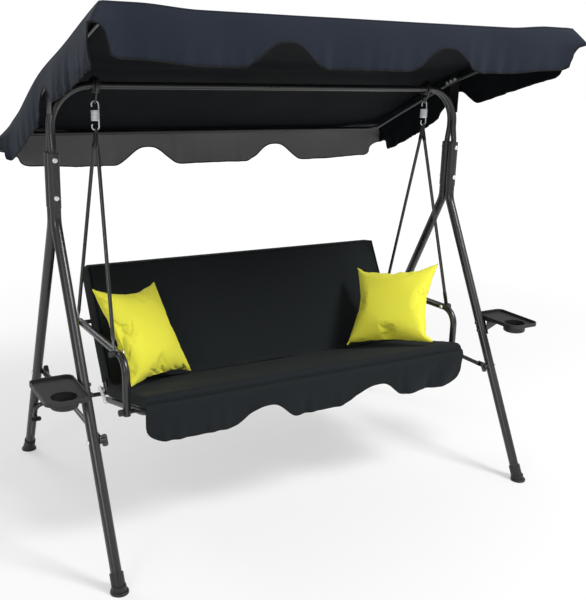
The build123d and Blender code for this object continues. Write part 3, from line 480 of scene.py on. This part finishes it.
def roof_grid(rng):
    """Roof over a grid of x and y: the roof line, less a sag that is a parabola in x and in each half
    of y, plus shallow dimples and a fan of folds round each corner, raised along the front and rear
    edges near their corners."""
    xs = dense_ends(HALF_W, 0.005, 0.011, 0.065)
    ys = (FRONT_Y + REAR_Y) / 2 + dense_ends((REAR_Y - FRONT_Y) / 2, 0.005, 0.011, 0.065)
    x, y = np.meshgrid(xs, ys, indexing="ij")
    across = np.clip(1 - (x / HALF_W) ** 2, 0, 1)
    span = np.where(y < 0, (y - FRONT_Y) / -FRONT_Y, (REAR_Y - y) / REAR_Y)
    sag = 0.010 * across * np.clip(4 * span * (1 - span), 0, 1)
    corner_x, corner_y = HALF_W - np.abs(x), np.minimum(y - FRONT_Y, REAR_Y - y)
    far = np.hypot(corner_x, corner_y)
    fan = np.sin(18 * np.arctan2(corner_y, corner_x)) * np.exp(-far / 0.16) * np.clip(far / 0.05, 0, 1)
    dimple = 0.0012 * wander(x + 0.4 * y, 0.30, rng) + 0.0010 * wander(y - 0.3 * x, 0.22, rng)
    rim = step(np.minimum(corner_x, corner_y), 0.0, 0.05)
    round_edge = 0.006 * (1 - step(np.minimum(corner_x, corner_y), 0.0, 0.016)) ** 2
    z = roof_line(y) - sag + (0.0022 * fan + dimple) * rim - round_edge
    from_edge = np.where(y < 0, (y - FRONT_Y) / 0.42, (REAR_Y - y) / 0.20)
    lift = (0.002 + 0.0095 * (1 - step(corner_x, 0.10, 0.27))) * (1 - step(from_edge, 0.0, 1.0))
    roof = np.stack([x + np.sign(x) * 0.3 * lift * (1 - step(corner_x, 0.0, 0.12)), y, z + lift], -1)
    return x, y, roof


def roof_border(cols, rows):
    """Numbers of the roof's border points in order, and the side of the canopy that each is on."""
    number = np.arange(cols * rows).reshape(cols, rows)
    border = np.r_[number[:, 0], number[-1, 1:], number[-2::-1, -1], number[0, -2:0:-1]]
    side = ["front"] * cols + ["right"] * (rows - 1) + ["rear"] * (cols - 1) + ["left"] * (rows - 2)
    side[cols + rows - 2] = "rear"
    return border, np.array(side)


def skirt_strip(edge, side, run, rng):
    """Skirt below the roof's edge: an edge point is dropped by v times the skirt's depth, blown out by
    half a sine, gathered in ripples that grow as v squared and crinkles as v cubed, and flared along
    the corner's diagonal near a corner."""
    depth, out = np.zeros(len(edge)), np.zeros((len(edge), 3))
    ways = {"front": (0, -1, 0), "right": (1, 0, 0), "rear": (0, 1, 0), "left": (-1, 0, 0)}
    for name, way in ways.items():
        mine = side == name
        depth[mine] = skirt_depth(edge[mine, 0], edge[mine, 1], name)
        out[mine] = way
    diagonal = np.stack([np.sign(edge[:, 0]), np.where(edge[:, 1] < 0, -1, 1), 0 * edge[:, 0]], -1)
    gap = np.where(np.isin(side, ("front", "rear")), HALF_W - np.abs(edge[:, 0]),
                   np.minimum(edge[:, 1] - FRONT_Y, REAR_Y - edge[:, 1]))
    reach = np.select([side == "front", side == "rear"], [0.034, 0.055], 0.060)
    flare = np.where(edge[:, 1] < 0, 0.036, 0.040) * np.exp(-(np.maximum(gap, 0) / reach) ** 1.4)
    v = (np.arange(1, SKIRT_ROWS + 1) / SKIRT_ROWS)[:, None]
    drop = v * depth
    ripple = wander(run, 0.075, rng) * 0.6 + wander(run, 0.045, rng) * 0.4
    slow = wander(run, 0.42, rng)
    lobe = step(depth, 0.085, 0.13)
    billow = 0.007 * np.sin(np.pi * np.clip(drop / 0.15, 0, 1)) * (0.6 + 0.4 * slow)
    crinkle = wander(run[None] + 0.6 * drop, 0.026, rng) * wander(run[None] - 0.5 * drop, 0.20, rng)
    gather = 0.0050 * ripple * v ** 2 * lobe + 0.006 * slow * v * lobe + 0.0022 * crinkle * v ** 3 * lobe
    away = (0.0035 + billow + gather) * (1 - np.exp(-drop / 0.008))
    skirt = np.repeat(edge[None], len(v), 0)
    skirt[..., 2] -= drop
    skirt += out[None] * away[..., None]
    skirt += diagonal[None] * (flare * np.clip(drop / 0.05, 0, 1))[..., None]
    return skirt, drop


def build_canopy():
    """One continuous sheet: the roof's grid, and a skirt strip whose columns hang from the roof's
    border in order. Returns the piece, the border and the hem."""
    rng = np.random.default_rng(SEED + 1)
    x, y, roof = roof_grid(rng)
    cols, rows = x.shape
    border, side = roof_border(cols, rows)
    edge = roof.reshape(-1, 3)[border]
    run = np.r_[0, np.cumsum(np.linalg.norm(np.diff(edge, axis=0), axis=1))]
    skirt, drop = skirt_strip(edge, side, run, rng)
    below = cols * rows + np.arange(drop.size).reshape(drop.shape)
    table = np.vstack([border[None], below])
    faces = np.vstack([grid_faces(cols, rows)[:, ::-1], table_faces(table, wrap=True)])
    points = np.vstack([roof.reshape(-1, 3), skirt.reshape(-1, 3)])
    uv_roof = np.stack([x, y], -1).reshape(-1, 2)
    uv_skirt = np.stack([np.repeat(run[None], len(drop), 0), -drop + 3.0], -1).reshape(-1, 2)
    cloth = new_piece("canopy_cloth", points, faces.tolist(), [CANOPY, CANOPY, SHADED_UNDERSIDE, LIT_THROUGH_SKIRT],
                      np.vstack([uv_roof, uv_skirt]))
    # Rear skirt faces take slot 1, so their inner side takes slot 3, the painted light through the cloth.
    behind = np.zeros(len(points), bool)
    behind[cols * rows:] = np.tile(side == "rear", len(drop))
    cloth.data.polygons.foreach_set("material_index", behind[faces].all(1).astype(np.int32))
    return cloth, edge, skirt[-1]


cover, roof_edge, hem_line = build_canopy()
# Inner shell takes its slot plus 2: painted shade on the underside, painted light on the rear skirt's inner
# side.
thicken(cover, 0.0012, 2, -1.0)
bound_hem = piping("canopy_hem_binding", hem_line, 0.0026, BINDING)
roof_seam = piping("canopy_roof_seam", roof_edge - [0, 0, 0.001], 0.0018, CANOPY)
for piece in (cover, bound_hem, roof_seam):
    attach(piece, "canopy")
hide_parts("canopy_cover")


# --- Seat and back planes ------------------------------------------------------------------
# Slopes of the two frames, the (y, z) where each plane starts, and the far tubes' places along them.
SEAT_TURN, BACK_TURN = math.radians(13.8), math.radians(29.4)
SEAT_START, BACK_START = (0.045, 0.368), (0.080, 0.385)
TUBE_R, FRONT_TUBE, TOP_TUBE = 0.011, 0.4016, 0.458


def on_seat(x, along, up):
    """Point x across, along the seat towards the front, and up out of the seat's frame."""
    y = SEAT_START[0] - along * math.cos(SEAT_TURN) + up * math.sin(SEAT_TURN)
    z = SEAT_START[1] + along * math.sin(SEAT_TURN) + up * math.cos(SEAT_TURN)
    return np.stack(np.broadcast_arrays(x, y, z), -1)


def on_back(x, along, up):
    """Point x across, along the back towards its top, and up out of the back's frame to the front."""
    y = BACK_START[0] + along * math.sin(BACK_TURN) - up * math.cos(BACK_TURN)
    z = BACK_START[1] + along * math.cos(BACK_TURN) + up * math.sin(BACK_TURN)
    return np.stack(np.broadcast_arrays(x, y, z), -1)


# --- Slings --------------------------------------------------------------------------------
def build_sling(name, place, half, near, far, node):
    """Mesh cloth wrapped round a far and a near tube, whose section is: a hem that rises from below
    as a parabola, half a circle round the near tube, a run that dips between the tubes by a parabola,
    half a circle round the far tube, and a hem that comes back below it."""
    rng = np.random.default_rng(SEED + 2)
    wrap = TUBE_R + 0.0007
    turn = np.linspace(-0.5 * np.pi, 0.5 * np.pi, 13)
    span, share = np.linspace(near, far, 60), np.linspace(0, 1, 8)
    dip = 0.006 * 4 * (span - near) * (far - span) / (far - near) ** 2
    along = np.concatenate([near + 0.055 - 0.055 * share, near + wrap * np.cos(turn[::-1] + np.pi),
                            span[1:-1], far + wrap * np.cos(turn[::-1]), far - 0.055 * share])
    up = np.concatenate([-wrap + 0.022 * (1 - share) ** 2, wrap * np.sin(turn), (wrap - dip)[1:-1],
                         wrap * np.sin(turn[::-1]), -wrap + 0.022 * share ** 2])
    x = np.linspace(-half, half, 120)
    ripple = 0.0012 * wander(x, 0.12, rng)[:, None] * np.where(np.abs(up - wrap) < 0.009, 1, 0)[None]
    grid = place(x[:, None], along[None], up[None] - np.abs(ripple))
    length = np.r_[0, np.cumsum(np.hypot(np.diff(along), np.diff(up)))]
    uv = np.stack(np.broadcast_arrays(x[:, None], length[None]), -1)
    sling = new_piece(name, grid, grid_faces(*grid.shape[:2]).tolist(), [MESH], uv)
    thicken(sling, 0.0012)
    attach(sling, "seat")
    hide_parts(node)


build_sling("seat_sling_cloth", on_seat, 0.567, 0.034, FRONT_TUBE, "seat_sling")
build_sling("back_sling_cloth", on_back, 0.550, 0.036, TOP_TUBE, "back_sling")


# --- Stuffed pieces ------------------------------------------------------------------------
# A pad's underside above its frame's plane, its thickness, and its seam's height above the underside.
PAD_LOW, PAD_THICK, PAD_SEAM = 0.0128, 0.0445, 0.016
SEAT_HALF, BACK_HALF, PILLOW_THICK = 0.637, 0.6185, 0.104
# The pocket's half width, depth and turned-in rear edge, and its radius round a frame tube.
POCKET_HALF, POCKET_DEPTH, POCKET_TURN, CLOTH_R = 0.618, 0.0692, 0.02, 0.0131
PAN_X, PAN_Y = 110, 42


def pad_grid(count, crowd):
    """Parameters -1 to 1 across and along a pad, crowded towards the rim by a power."""
    t = np.linspace(-1, 1, count)
    crowded = np.sign(t) * (1 - (1 - np.abs(t)) ** crowd)
    return np.meshgrid(crowded, crowded, indexing="ij")


def closed_pad(name, top, bottom, material, uv):
    """Two grids of the same shape sewn along their shared rim into one closed skin."""
    rows, cols = top.shape[:2]
    above = np.arange(rows * cols).reshape(rows, cols)
    inside = np.zeros((rows, cols), bool)
    inside[1:-1, 1:-1] = True
    under = above.copy()
    under[inside] = rows * cols + np.arange(inside.sum())
    points = np.vstack([top.reshape(-1, 3), bottom[inside]])
    faces = np.vstack([table_faces(above), table_faces(under)[:, ::-1]])
    flat = np.vstack([uv.reshape(-1, 2), uv[inside] + [3.0, 0.0]])
    return new_piece(name, points, faces.tolist(), [material], flat)


def puff(piece, pressure, frames, cap, bending, tension=20.0):
    """Blow a closed skin up with air pressure and no gravity, then hold each point within cap of
    where it began, and keep the result as the mesh."""
    start = places(piece)
    cloth = piece.modifiers.new("stuffing", "CLOTH")
    settings = cloth.settings
    settings.quality = 6
    settings.mass = 0.15
    settings.tension_stiffness = settings.compression_stiffness = tension
    settings.shear_stiffness = tension / 3
    settings.bending_stiffness = bending
    settings.use_pressure = True
    settings.uniform_pressure_force = pressure
    settings.effector_weights.gravity = 0.0
    cloth.collision_settings.use_collision = False
    cloth.point_cache.frame_start, cloth.point_cache.frame_end = 1, frames
    for number in range(1, frames + 1):
        bpy.context.scene.frame_set(number)
    apply_modifiers(piece)
    bpy.context.scene.frame_set(1)
    shift = places(piece) - start
    size = np.linalg.norm(shift, axis=1, keepdims=True)
    move_to(piece, start + shift * np.minimum(1, cap / np.maximum(size, 1e-9)))


def boxed(t, half, radius, wall):
    """Station and height of a boxed pad's side: from the seam at t = -1 or 1 the cloth stands up a
    straight wall, turns over a quarter circle and runs flat to the middle."""
    share = 1 - np.abs(t)
    turn = np.linspace(0, np.pi / 2, 7)
    inward = np.r_[0, radius * (1 - np.cos(turn)), half]
    height = np.r_[0, 1 - radius / wall + radius / wall * np.sin(turn), 1]
    stops = np.r_[0, np.linspace(0.07, 0.17, 7), 1]
    return np.sign(t) * (half - np.interp(share, stops, inward)), np.interp(share, stops, height)


def build_cushion(name, place, half, near, far, seed):
    """Boxed pad on a frame's plane: half wide, from near to far along it. The seam runs round it at a
    third of its height; above and below, its height is the product of the two side profiles, with a
    slight crown and slow creases. The simulation then fills it."""
    rng = np.random.default_rng(seed)
    u, w = np.meshgrid(np.linspace(-1, 1, 221), np.linspace(-1, 1, 85), indexing="ij")
    wall = PAD_THICK - PAD_SEAM
    x, rise_x = boxed(u, half, 0.013, wall)
    along, rise_y = boxed(w, (far - near) / 2, 0.013, wall)
    along = along + (near + far) / 2
    crown = 0.004 * (1 - u ** 4) * (1 - w ** 4)
    crease = 0.0013 * wander(x * 0.9 + 0.5 * along, 0.33, rng) + 0.0008 * wander(along - 0.35 * x, 0.13, rng)
    body = rise_x * rise_y
    top = place(x, along, PAD_LOW + PAD_SEAM + (wall - 0.004) * body + (crown + crease) * body)
    bottom = place(x, along, PAD_LOW + PAD_SEAM * (1 - body))
    pad = closed_pad(name, top, bottom, CUSHION, np.stack([x, along], -1))
    puff(pad, 2.5, 12, 0.003, 2.0)
    return pad


seat_pad = build_cushion("seat_cushion_pad", on_seat, SEAT_HALF, 0.032, 0.4135, SEED + 3)
back_pad = build_cushion("back_cushion_pad", on_back, BACK_HALF, 0.010, 0.455, SEED + 4)
for pad, node in ((seat_pad, "seat_cushion"), (back_pad, "back_cushion")):
    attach(pad, "seat")
    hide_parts(node)


def build_hinge_cloth():
    """Strip sewn between the two pads: across x, a section that leaves the seat pad's top, dips into
    the crease as a parabola and climbs on to the back pad."""
    rng = np.random.default_rng(SEED + 8)
    half, pad_top = 0.622, 0.0578
    x, t = np.linspace(-half, half, 160), np.linspace(0, 1, 15)
    start, end = on_seat(0, 0.060, pad_top), on_back(0, 0.040, pad_top)
    dip, bulge = np.array([0, 0.008, -0.013]), 4 * t * (1 - t)
    section = start[None] * (1 - t)[:, None] + end[None] * t[:, None] + dip[None] * bulge[:, None]
    points = np.repeat(section[None], len(x), 0)
    points[..., 0] = x[:, None]
    points[..., 2] += 0.0015 * wander(x, 0.16, rng)[:, None] * bulge[None]
    uv = np.stack(np.broadcast_arrays(x[:, None], 0.06 * t[None]), -1)
    strip = new_piece("cushion_hinge_cloth", points, grid_faces(len(x), len(t)).tolist(), [CUSHION], uv)
    thicken(strip, 0.0012)
    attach(strip, "seat")


build_hinge_cloth()


def squeezed(section, weight, depth, lay):
    """How far the points of a section stand out of the frame. Near a corner, by the weight of the
    other side's section, they slide together into the width this section has at their depth."""
    length = np.r_[0, np.cumsum(np.linalg.norm(np.diff(section, axis=0), axis=1))]
    own, share = section[:, 0][lay], (length / length[-1])[lay]
    reach = np.interp(depth, section[4::-1, 1] + CLOTH_R, section[4::-1, 0])
    return own + weight * (reach - (reach + POCKET_TURN) * share - own)


def build_back_pocket():
    """Pocket of the back cushion that slips over the back frame, a shallow pan open to the front and
    below. Each side's section runs from the pad's edge round the frame tube to the rear; the pan's
    depth at a point is the eighth-power mean of the depths of its two sections."""
    rng = np.random.default_rng(SEED + 9)
    around = np.array([(CLOTH_R, 0), (.0121, -.0052), (.0094, -.0092), (.0052, -.0120), (0, -CLOTH_R),
                       (-POCKET_TURN, -CLOTH_R)])
    side = np.vstack([[(.0022, .053), (.0052, .040), (.0090, .026), (.0120, .012)], around])
    over = np.vstack([[(-.0100, .0565), (-.0045, .045), (.0025, .030), (.0100, .012)], around])
    bend = len(side)
    inner = np.linspace(0.03 - POCKET_HALF, POCKET_HALF - 0.03, PAN_X)
    x = np.r_[-POCKET_HALF - side[:, 0], inner, (POCKET_HALF + side[:, 0])[::-1]]
    depth_x = np.r_[side[:, 1], np.full(PAN_X, -CLOTH_R), side[::-1, 1]] + CLOTH_R
    along = np.r_[np.linspace(0.036, TOP_TUBE - 0.03, PAN_Y), (TOP_TUBE + over[:, 0])[::-1]]
    depth_y = np.r_[np.full(PAN_Y, -CLOTH_R), over[::-1, 1]] + CLOTH_R
    deep_x, deep_y = depth_x[:, None] ** 8, depth_y[None] ** 8
    depth = np.minimum((deep_x + deep_y) ** 0.125, POCKET_DEPTH)
    by_top = deep_y / (deep_x + deep_y + 1e-30)
    gx, gy = np.meshgrid(x, along, indexing="ij")
    edge = squeezed(side, by_top[:bend], depth[:bend], np.s_[:, None])
    gx[:bend], gx[-bend:] = -POCKET_HALF - edge, POCKET_HALF + edge[::-1]
    last = np.s_[:, :-bend - 1:-1]
    gy[:, -bend:] = TOP_TUBE + squeezed(over, 1 - by_top[last], depth[last], np.s_[None])[:, ::-1]
    flat_part = step(0.60 - np.abs(gx), 0.0, 0.05) * step(0.44 - gy, 0.0, 0.04)
    slack = 0.0025 + 0.002 * wander(gx + 0.2 * gy, 0.20, rng) + 0.0015 * wander(gy - 0.4 * gx, 0.12, rng)
    droop = 0.006 * step(0.20 - gy, 0.0, 0.13) * (0.6 + 0.4 * wander(gx, 0.25, rng))
    pull = 0.004 * step(0.16 - gy, 0, 0.09) * (np.abs(gx) > 0.60)
    points = on_back(gx, gy, depth - CLOTH_R - (np.abs(slack) + droop) * flat_part + pull)
    span = np.r_[0, np.cumsum(np.hypot(np.diff(x), np.diff(depth_x)))]
    rise = np.r_[0, np.cumsum(np.hypot(np.diff(along), np.diff(depth_y)))]
    uv = np.stack(np.broadcast_arrays(span[:, None], rise[None]), -1)
    pocket = new_piece("back_cushion_pocket", points, grid_faces(*gx.shape).tolist(), [CUSHION], uv)
    thicken(pocket, 0.0010)
    rim = eased(np.vstack([points[0], points[1:-1, -1], points[-1, ::-1]]))
    seam = piping("back_pocket_seam", rim, 0.0017, CUSHION, closed=False)
    hem = piping("back_pocket_hem", points[:, 0], 0.0017, BINDING, closed=False)
    for piece in (pocket, seam, hem):
        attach(piece, "seat")


build_back_pocket()


def build_pillow(name, node, corners, size, seed):
    """Scatter pillow: two squares of cloth sewn at the rim, blown up by the simulation, then turned so
    that it spans its top left, top right, low right and low left corners. Along the seam the cloth
    puckers in short waves that die away within 20 mm, and the lower edge sags by a fifth power."""
    rng = np.random.default_rng(seed)
    u, w = pad_grid(73, 1.15)
    flat = size * 0.5
    full = np.clip((1 - u ** 2) * (1 - w ** 2), 0, 1)
    height = 0.052 * full ** 0.8
    pinch = 0.0
    x, y = flat * u * (1 - pinch * (1 - w ** 2)), flat * w * (1 - pinch * (1 - u ** 2))
    top, bottom = np.stack([x, y, height], -1), np.stack([x, y, -height], -1)
    pillow = closed_pad(name, top, bottom, YELLOW, np.stack([flat * u, flat * w], -1))
    puff(pillow, 9.0, 26, 0.05, 0.4, 40.0)
    points, out = places(pillow), normals_of(pillow)
    square = np.stack([u, w], -1)
    across, upward = np.vstack([square.reshape(-1, 2), square[1:-1, 1:-1].reshape(-1, 2)]).T
    to_side, to_end = 1 - np.abs(across), 1 - np.abs(upward)
    edge = np.minimum(to_side, to_end) * flat
    round_seam = np.where(to_side < to_end, upward, across) * flat
    pucker = wander(round_seam, 0.016, rng) * np.exp(-edge / 0.012) * np.clip(edge / 0.004, 0, 1)
    sway = wander(across * flat + 0.6 * upward * flat, 0.14, rng) * np.exp(-edge / 0.07)
    points = points + out * (0.0016 * pucker + 0.0016 * sway * np.clip(edge / 0.02, 0, 1))[:, None]
    points[:, 1] -= 0.014 * (1 - across ** 2) * ((1 - upward) / 2) ** 5
    points[:, 2] *= min(1.0, PILLOW_THICK / np.ptp(points[:, 2]))
    a, b, c, d = (Vector(corner) for corner in corners)
    centre, right, up = (a + b + c + d) / 4, ((b - a + c - d) / 2).normalized(), (a - d + b - c) / 2
    up = (up - right * up.dot(right)).normalized()
    move_to(pillow, points @ np.array([right, up, right.cross(up)]) + np.array(centre))
    smooth = pillow.modifiers.new("smooth", "SUBSURF")
    smooth.levels = smooth.render_levels = 1
    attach(pillow, "seat")
    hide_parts(node)


left_corners = (-.70, -.036, .80), (-.405, .161, .749), (-.336, -.02, .451), (-.63, -.217, .502)
right_corners = (.46, .126, .726), (.669, -.145, .782), (.52, -.315, .52), (.31, -.044, .464)
build_pillow("pillow_left_stuffed", "pillow_left", left_corners, 0.385, SEED + 5)
build_pillow("pillow_right_stuffed", "pillow_right", right_corners, 0.375, SEED + 6)


# --- Seat valance --------------------------------------------------------------------------
def hollow(distance, half_width):
    """Half of a valance bay: a raised cosine with a flattened top, 1 in the middle."""
    t = np.clip(np.abs(distance) / half_width, 0, 1)
    return 0.5 + 0.5 * np.cos(np.pi * t ** 1.25)


def bay(distance, left, right):
    """Uneven bay: the raised cosine with its own half width on each side."""
    return np.where(distance < 0, hollow(distance, left), hollow(distance, right))


def build_valance():
    """Skirt of the seat cushion: x across and v from the seam down to the hem. The hem is a line less
    two bays, the lower corners are rounded, and slanting folds lean across the right-hand lobe.
    Returns the piece and its grid of points."""
    rng = np.random.default_rng(SEED + 7)
    seam, hem, cushion_front = 0.4945, 0.366, -0.3535
    x = np.linspace(-SEAT_HALF, SEAT_HALF, 361)
    v = np.linspace(0, 1, 36)[:, None]
    bays = 0.056 * (bay(x + 0.197, 0.150, 0.105) + bay(x - 0.256, 0.180, 0.105))
    corner = np.clip((SEAT_HALF - np.abs(x)) / 0.080, 0, 1)
    depth = (seam - hem) - bays - 0.056 * (1 - np.sqrt(1 - (1 - corner) ** 2))
    drop = v * depth
    lobe = step(depth, 0.07, 0.11)
    slant = wander(x[None] + 0.55 * drop, 0.10, rng) * step(x, 0.30, 0.42)
    soft = wander(x, 0.30, rng)
    fold = (0.0050 * slant + 0.0035 * soft * lobe) * v + 0.0022 * wander(x, 0.06, rng) * lobe * v ** 2
    lip = 0.0085 * (1 - np.exp(-drop / 0.010)) + 0.0015 * np.sin(np.pi * np.clip(drop / 0.04, 0, 1))
    points = np.stack(np.broadcast_arrays(x[None], cushion_front - lip - fold, seam - drop), -1)
    uv = np.stack(np.broadcast_arrays(x[None], -drop), -1)
    cloth = new_piece("seat_skirt_cloth", points, grid_faces(*drop.shape).tolist(), [CUSHION], uv)
    return cloth, points


skirt, skirt_points = build_valance()
thicken(skirt, 0.0012)
hem_path = np.vstack([skirt_points[:-1, 0], skirt_points[-1], skirt_points[-2::-1, -1]])
skirt_hem = piping("seat_skirt_binding", hem_path, 0.0020, BINDING, closed=False)
skirt_seam = piping("seat_skirt_seam", skirt_points[0] + [0, -0.0005, 0.001], 0.0022, BINDING, closed=False)
for piece in (skirt, skirt_hem, skirt_seam):
    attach(piece, "seat")
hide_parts("seat_valance")


# --- Floor, light and camera ---------------------------------------------------------------
def fade_floor(tree, shader):
    """Let the floor run into the white surround: it glows a little, and fully beyond 4 m."""
    coords = tree.nodes.new("ShaderNodeTexCoord")
    length = tree.nodes.new("ShaderNodeVectorMath")
    length.operation = "LENGTH"
    tree.links.new(coords.outputs["Object"], length.inputs[0])
    far = range_node(tree, length.outputs["Value"], 1.9, 4.2, 0.42, 1.0)
    glow, mix = tree.nodes.new("ShaderNodeEmission"), tree.nodes.new("ShaderNodeMixShader")
    glow.inputs["Strength"].default_value = 1.05
    ray = tree.nodes.new("ShaderNodeLightPath")
    tree.links.new(math_node(tree, "MULTIPLY", far, ray.outputs["Is Camera Ray"]), mix.inputs[0])
    tree.links.new(shader.outputs[0], mix.inputs[1])
    tree.links.new(glow.outputs[0], mix.inputs[2])
    tree.links.new(mix.outputs[0], tree.nodes["Material Output"].inputs["Surface"])


def light_world(tree):
    """White surround to look at, and a dimmer sky, brighter overhead, to light by."""
    seen = tree.nodes["Background"]
    seen.inputs["Color"].default_value = (1, 1, 1, 1)
    seen.inputs["Strength"].default_value = 1.0
    coords, split = tree.nodes.new("ShaderNodeTexCoord"), tree.nodes.new("ShaderNodeSeparateXYZ")
    tree.links.new(coords.outputs["Generated"], split.inputs[0])
    rise = range_node(tree, split.outputs[2], 0.0, 0.9, 0.30, 0.75)
    lit, mix = tree.nodes.new("ShaderNodeBackground"), tree.nodes.new("ShaderNodeMixShader")
    tree.links.new(rise, lit.inputs["Strength"])
    ray = tree.nodes.new("ShaderNodeLightPath")
    tree.links.new(ray.outputs["Is Camera Ray"], mix.inputs[0])
    tree.links.new(lit.outputs[0], mix.inputs[1])
    tree.links.new(seen.outputs[0], mix.inputs[2])
    tree.links.new(mix.outputs[0], tree.nodes["World Output"].inputs["Surface"])


def build_floor():
    """Pale square of 60 m that fades into the surround."""
    mesh = bpy.data.meshes.new("floor")
    half = 30
    corners = [(-half, -half, 0), (half, -half, 0), (half, half, 0), (-half, half, 0)]
    mesh.from_pydata(corners, [], [(0, 1, 2, 3)])
    floor = bpy.data.objects.new("floor", mesh)
    bpy.context.scene.collection.objects.link(floor)
    pale = bpy.data.materials.new("pale_floor")
    pale.use_nodes = True
    shader = pale.node_tree.nodes["Principled BSDF"]
    shader.inputs["Base Color"].default_value = grey(0.86)
    shader.inputs["Roughness"].default_value = 0.9
    shader.inputs["Specular IOR Level"].default_value = 0.1
    mesh.materials.append(pale)
    fade_floor(pale.node_tree, shader)


def build_lights():
    """White surround and three soft lamps: a broad key from the front right, a fill and a rim."""
    world = bpy.data.worlds.new("studio")
    world.use_nodes = True
    light_world(world.node_tree)
    bpy.context.scene.world = world
    for name, place, aim, size, power in (("key", (2.4, -3.0, 4.6), (0, 0, 0.6), 1.6, 230.0),
                                          ("fill", (-3.8, -3.0, 2.2), (0, 0, 0.8), 1.6, 38.0),
                                          ("rim", (-2.0, 3.8, 3.4), (0, 0, 0.9), 2.2, 60.0)):
        light = bpy.data.lights.new(name, "AREA")
        light.size, light.energy = size, power
        lamp = bpy.data.objects.new(name, light)
        lamp.location = place
        lamp.rotation_euler = (Vector(aim) - Vector(place)).to_track_quat("-Z", "Y").to_euler()
        bpy.context.scene.collection.objects.link(lamp)
    bpy.context.scene.view_settings.view_transform = "Standard"


def build_camera():
    """Camera a little above eye level, turned 30 degrees to the front and looking slightly down."""
    right, up = Vector((.8673, -.4971, .0284)), Vector((.1094, .2461, .9632))
    ahead = Vector((.4857, .8322, -.2678))
    data = bpy.data.cameras.new("camera")
    data.sensor_width, data.sensor_fit, data.lens = 36.0, "AUTO", 52.23
    camera = bpy.data.objects.new("camera", data)
    turn = Matrix((right, up, -ahead)).transposed().to_4x4()
    camera.matrix_world = Matrix.Translation((-1.517, -2.754, 1.549)) @ turn
    bpy.context.scene.collection.objects.link(camera)
    bpy.context.scene.camera = camera


build_floor()
build_lights()
build_camera()
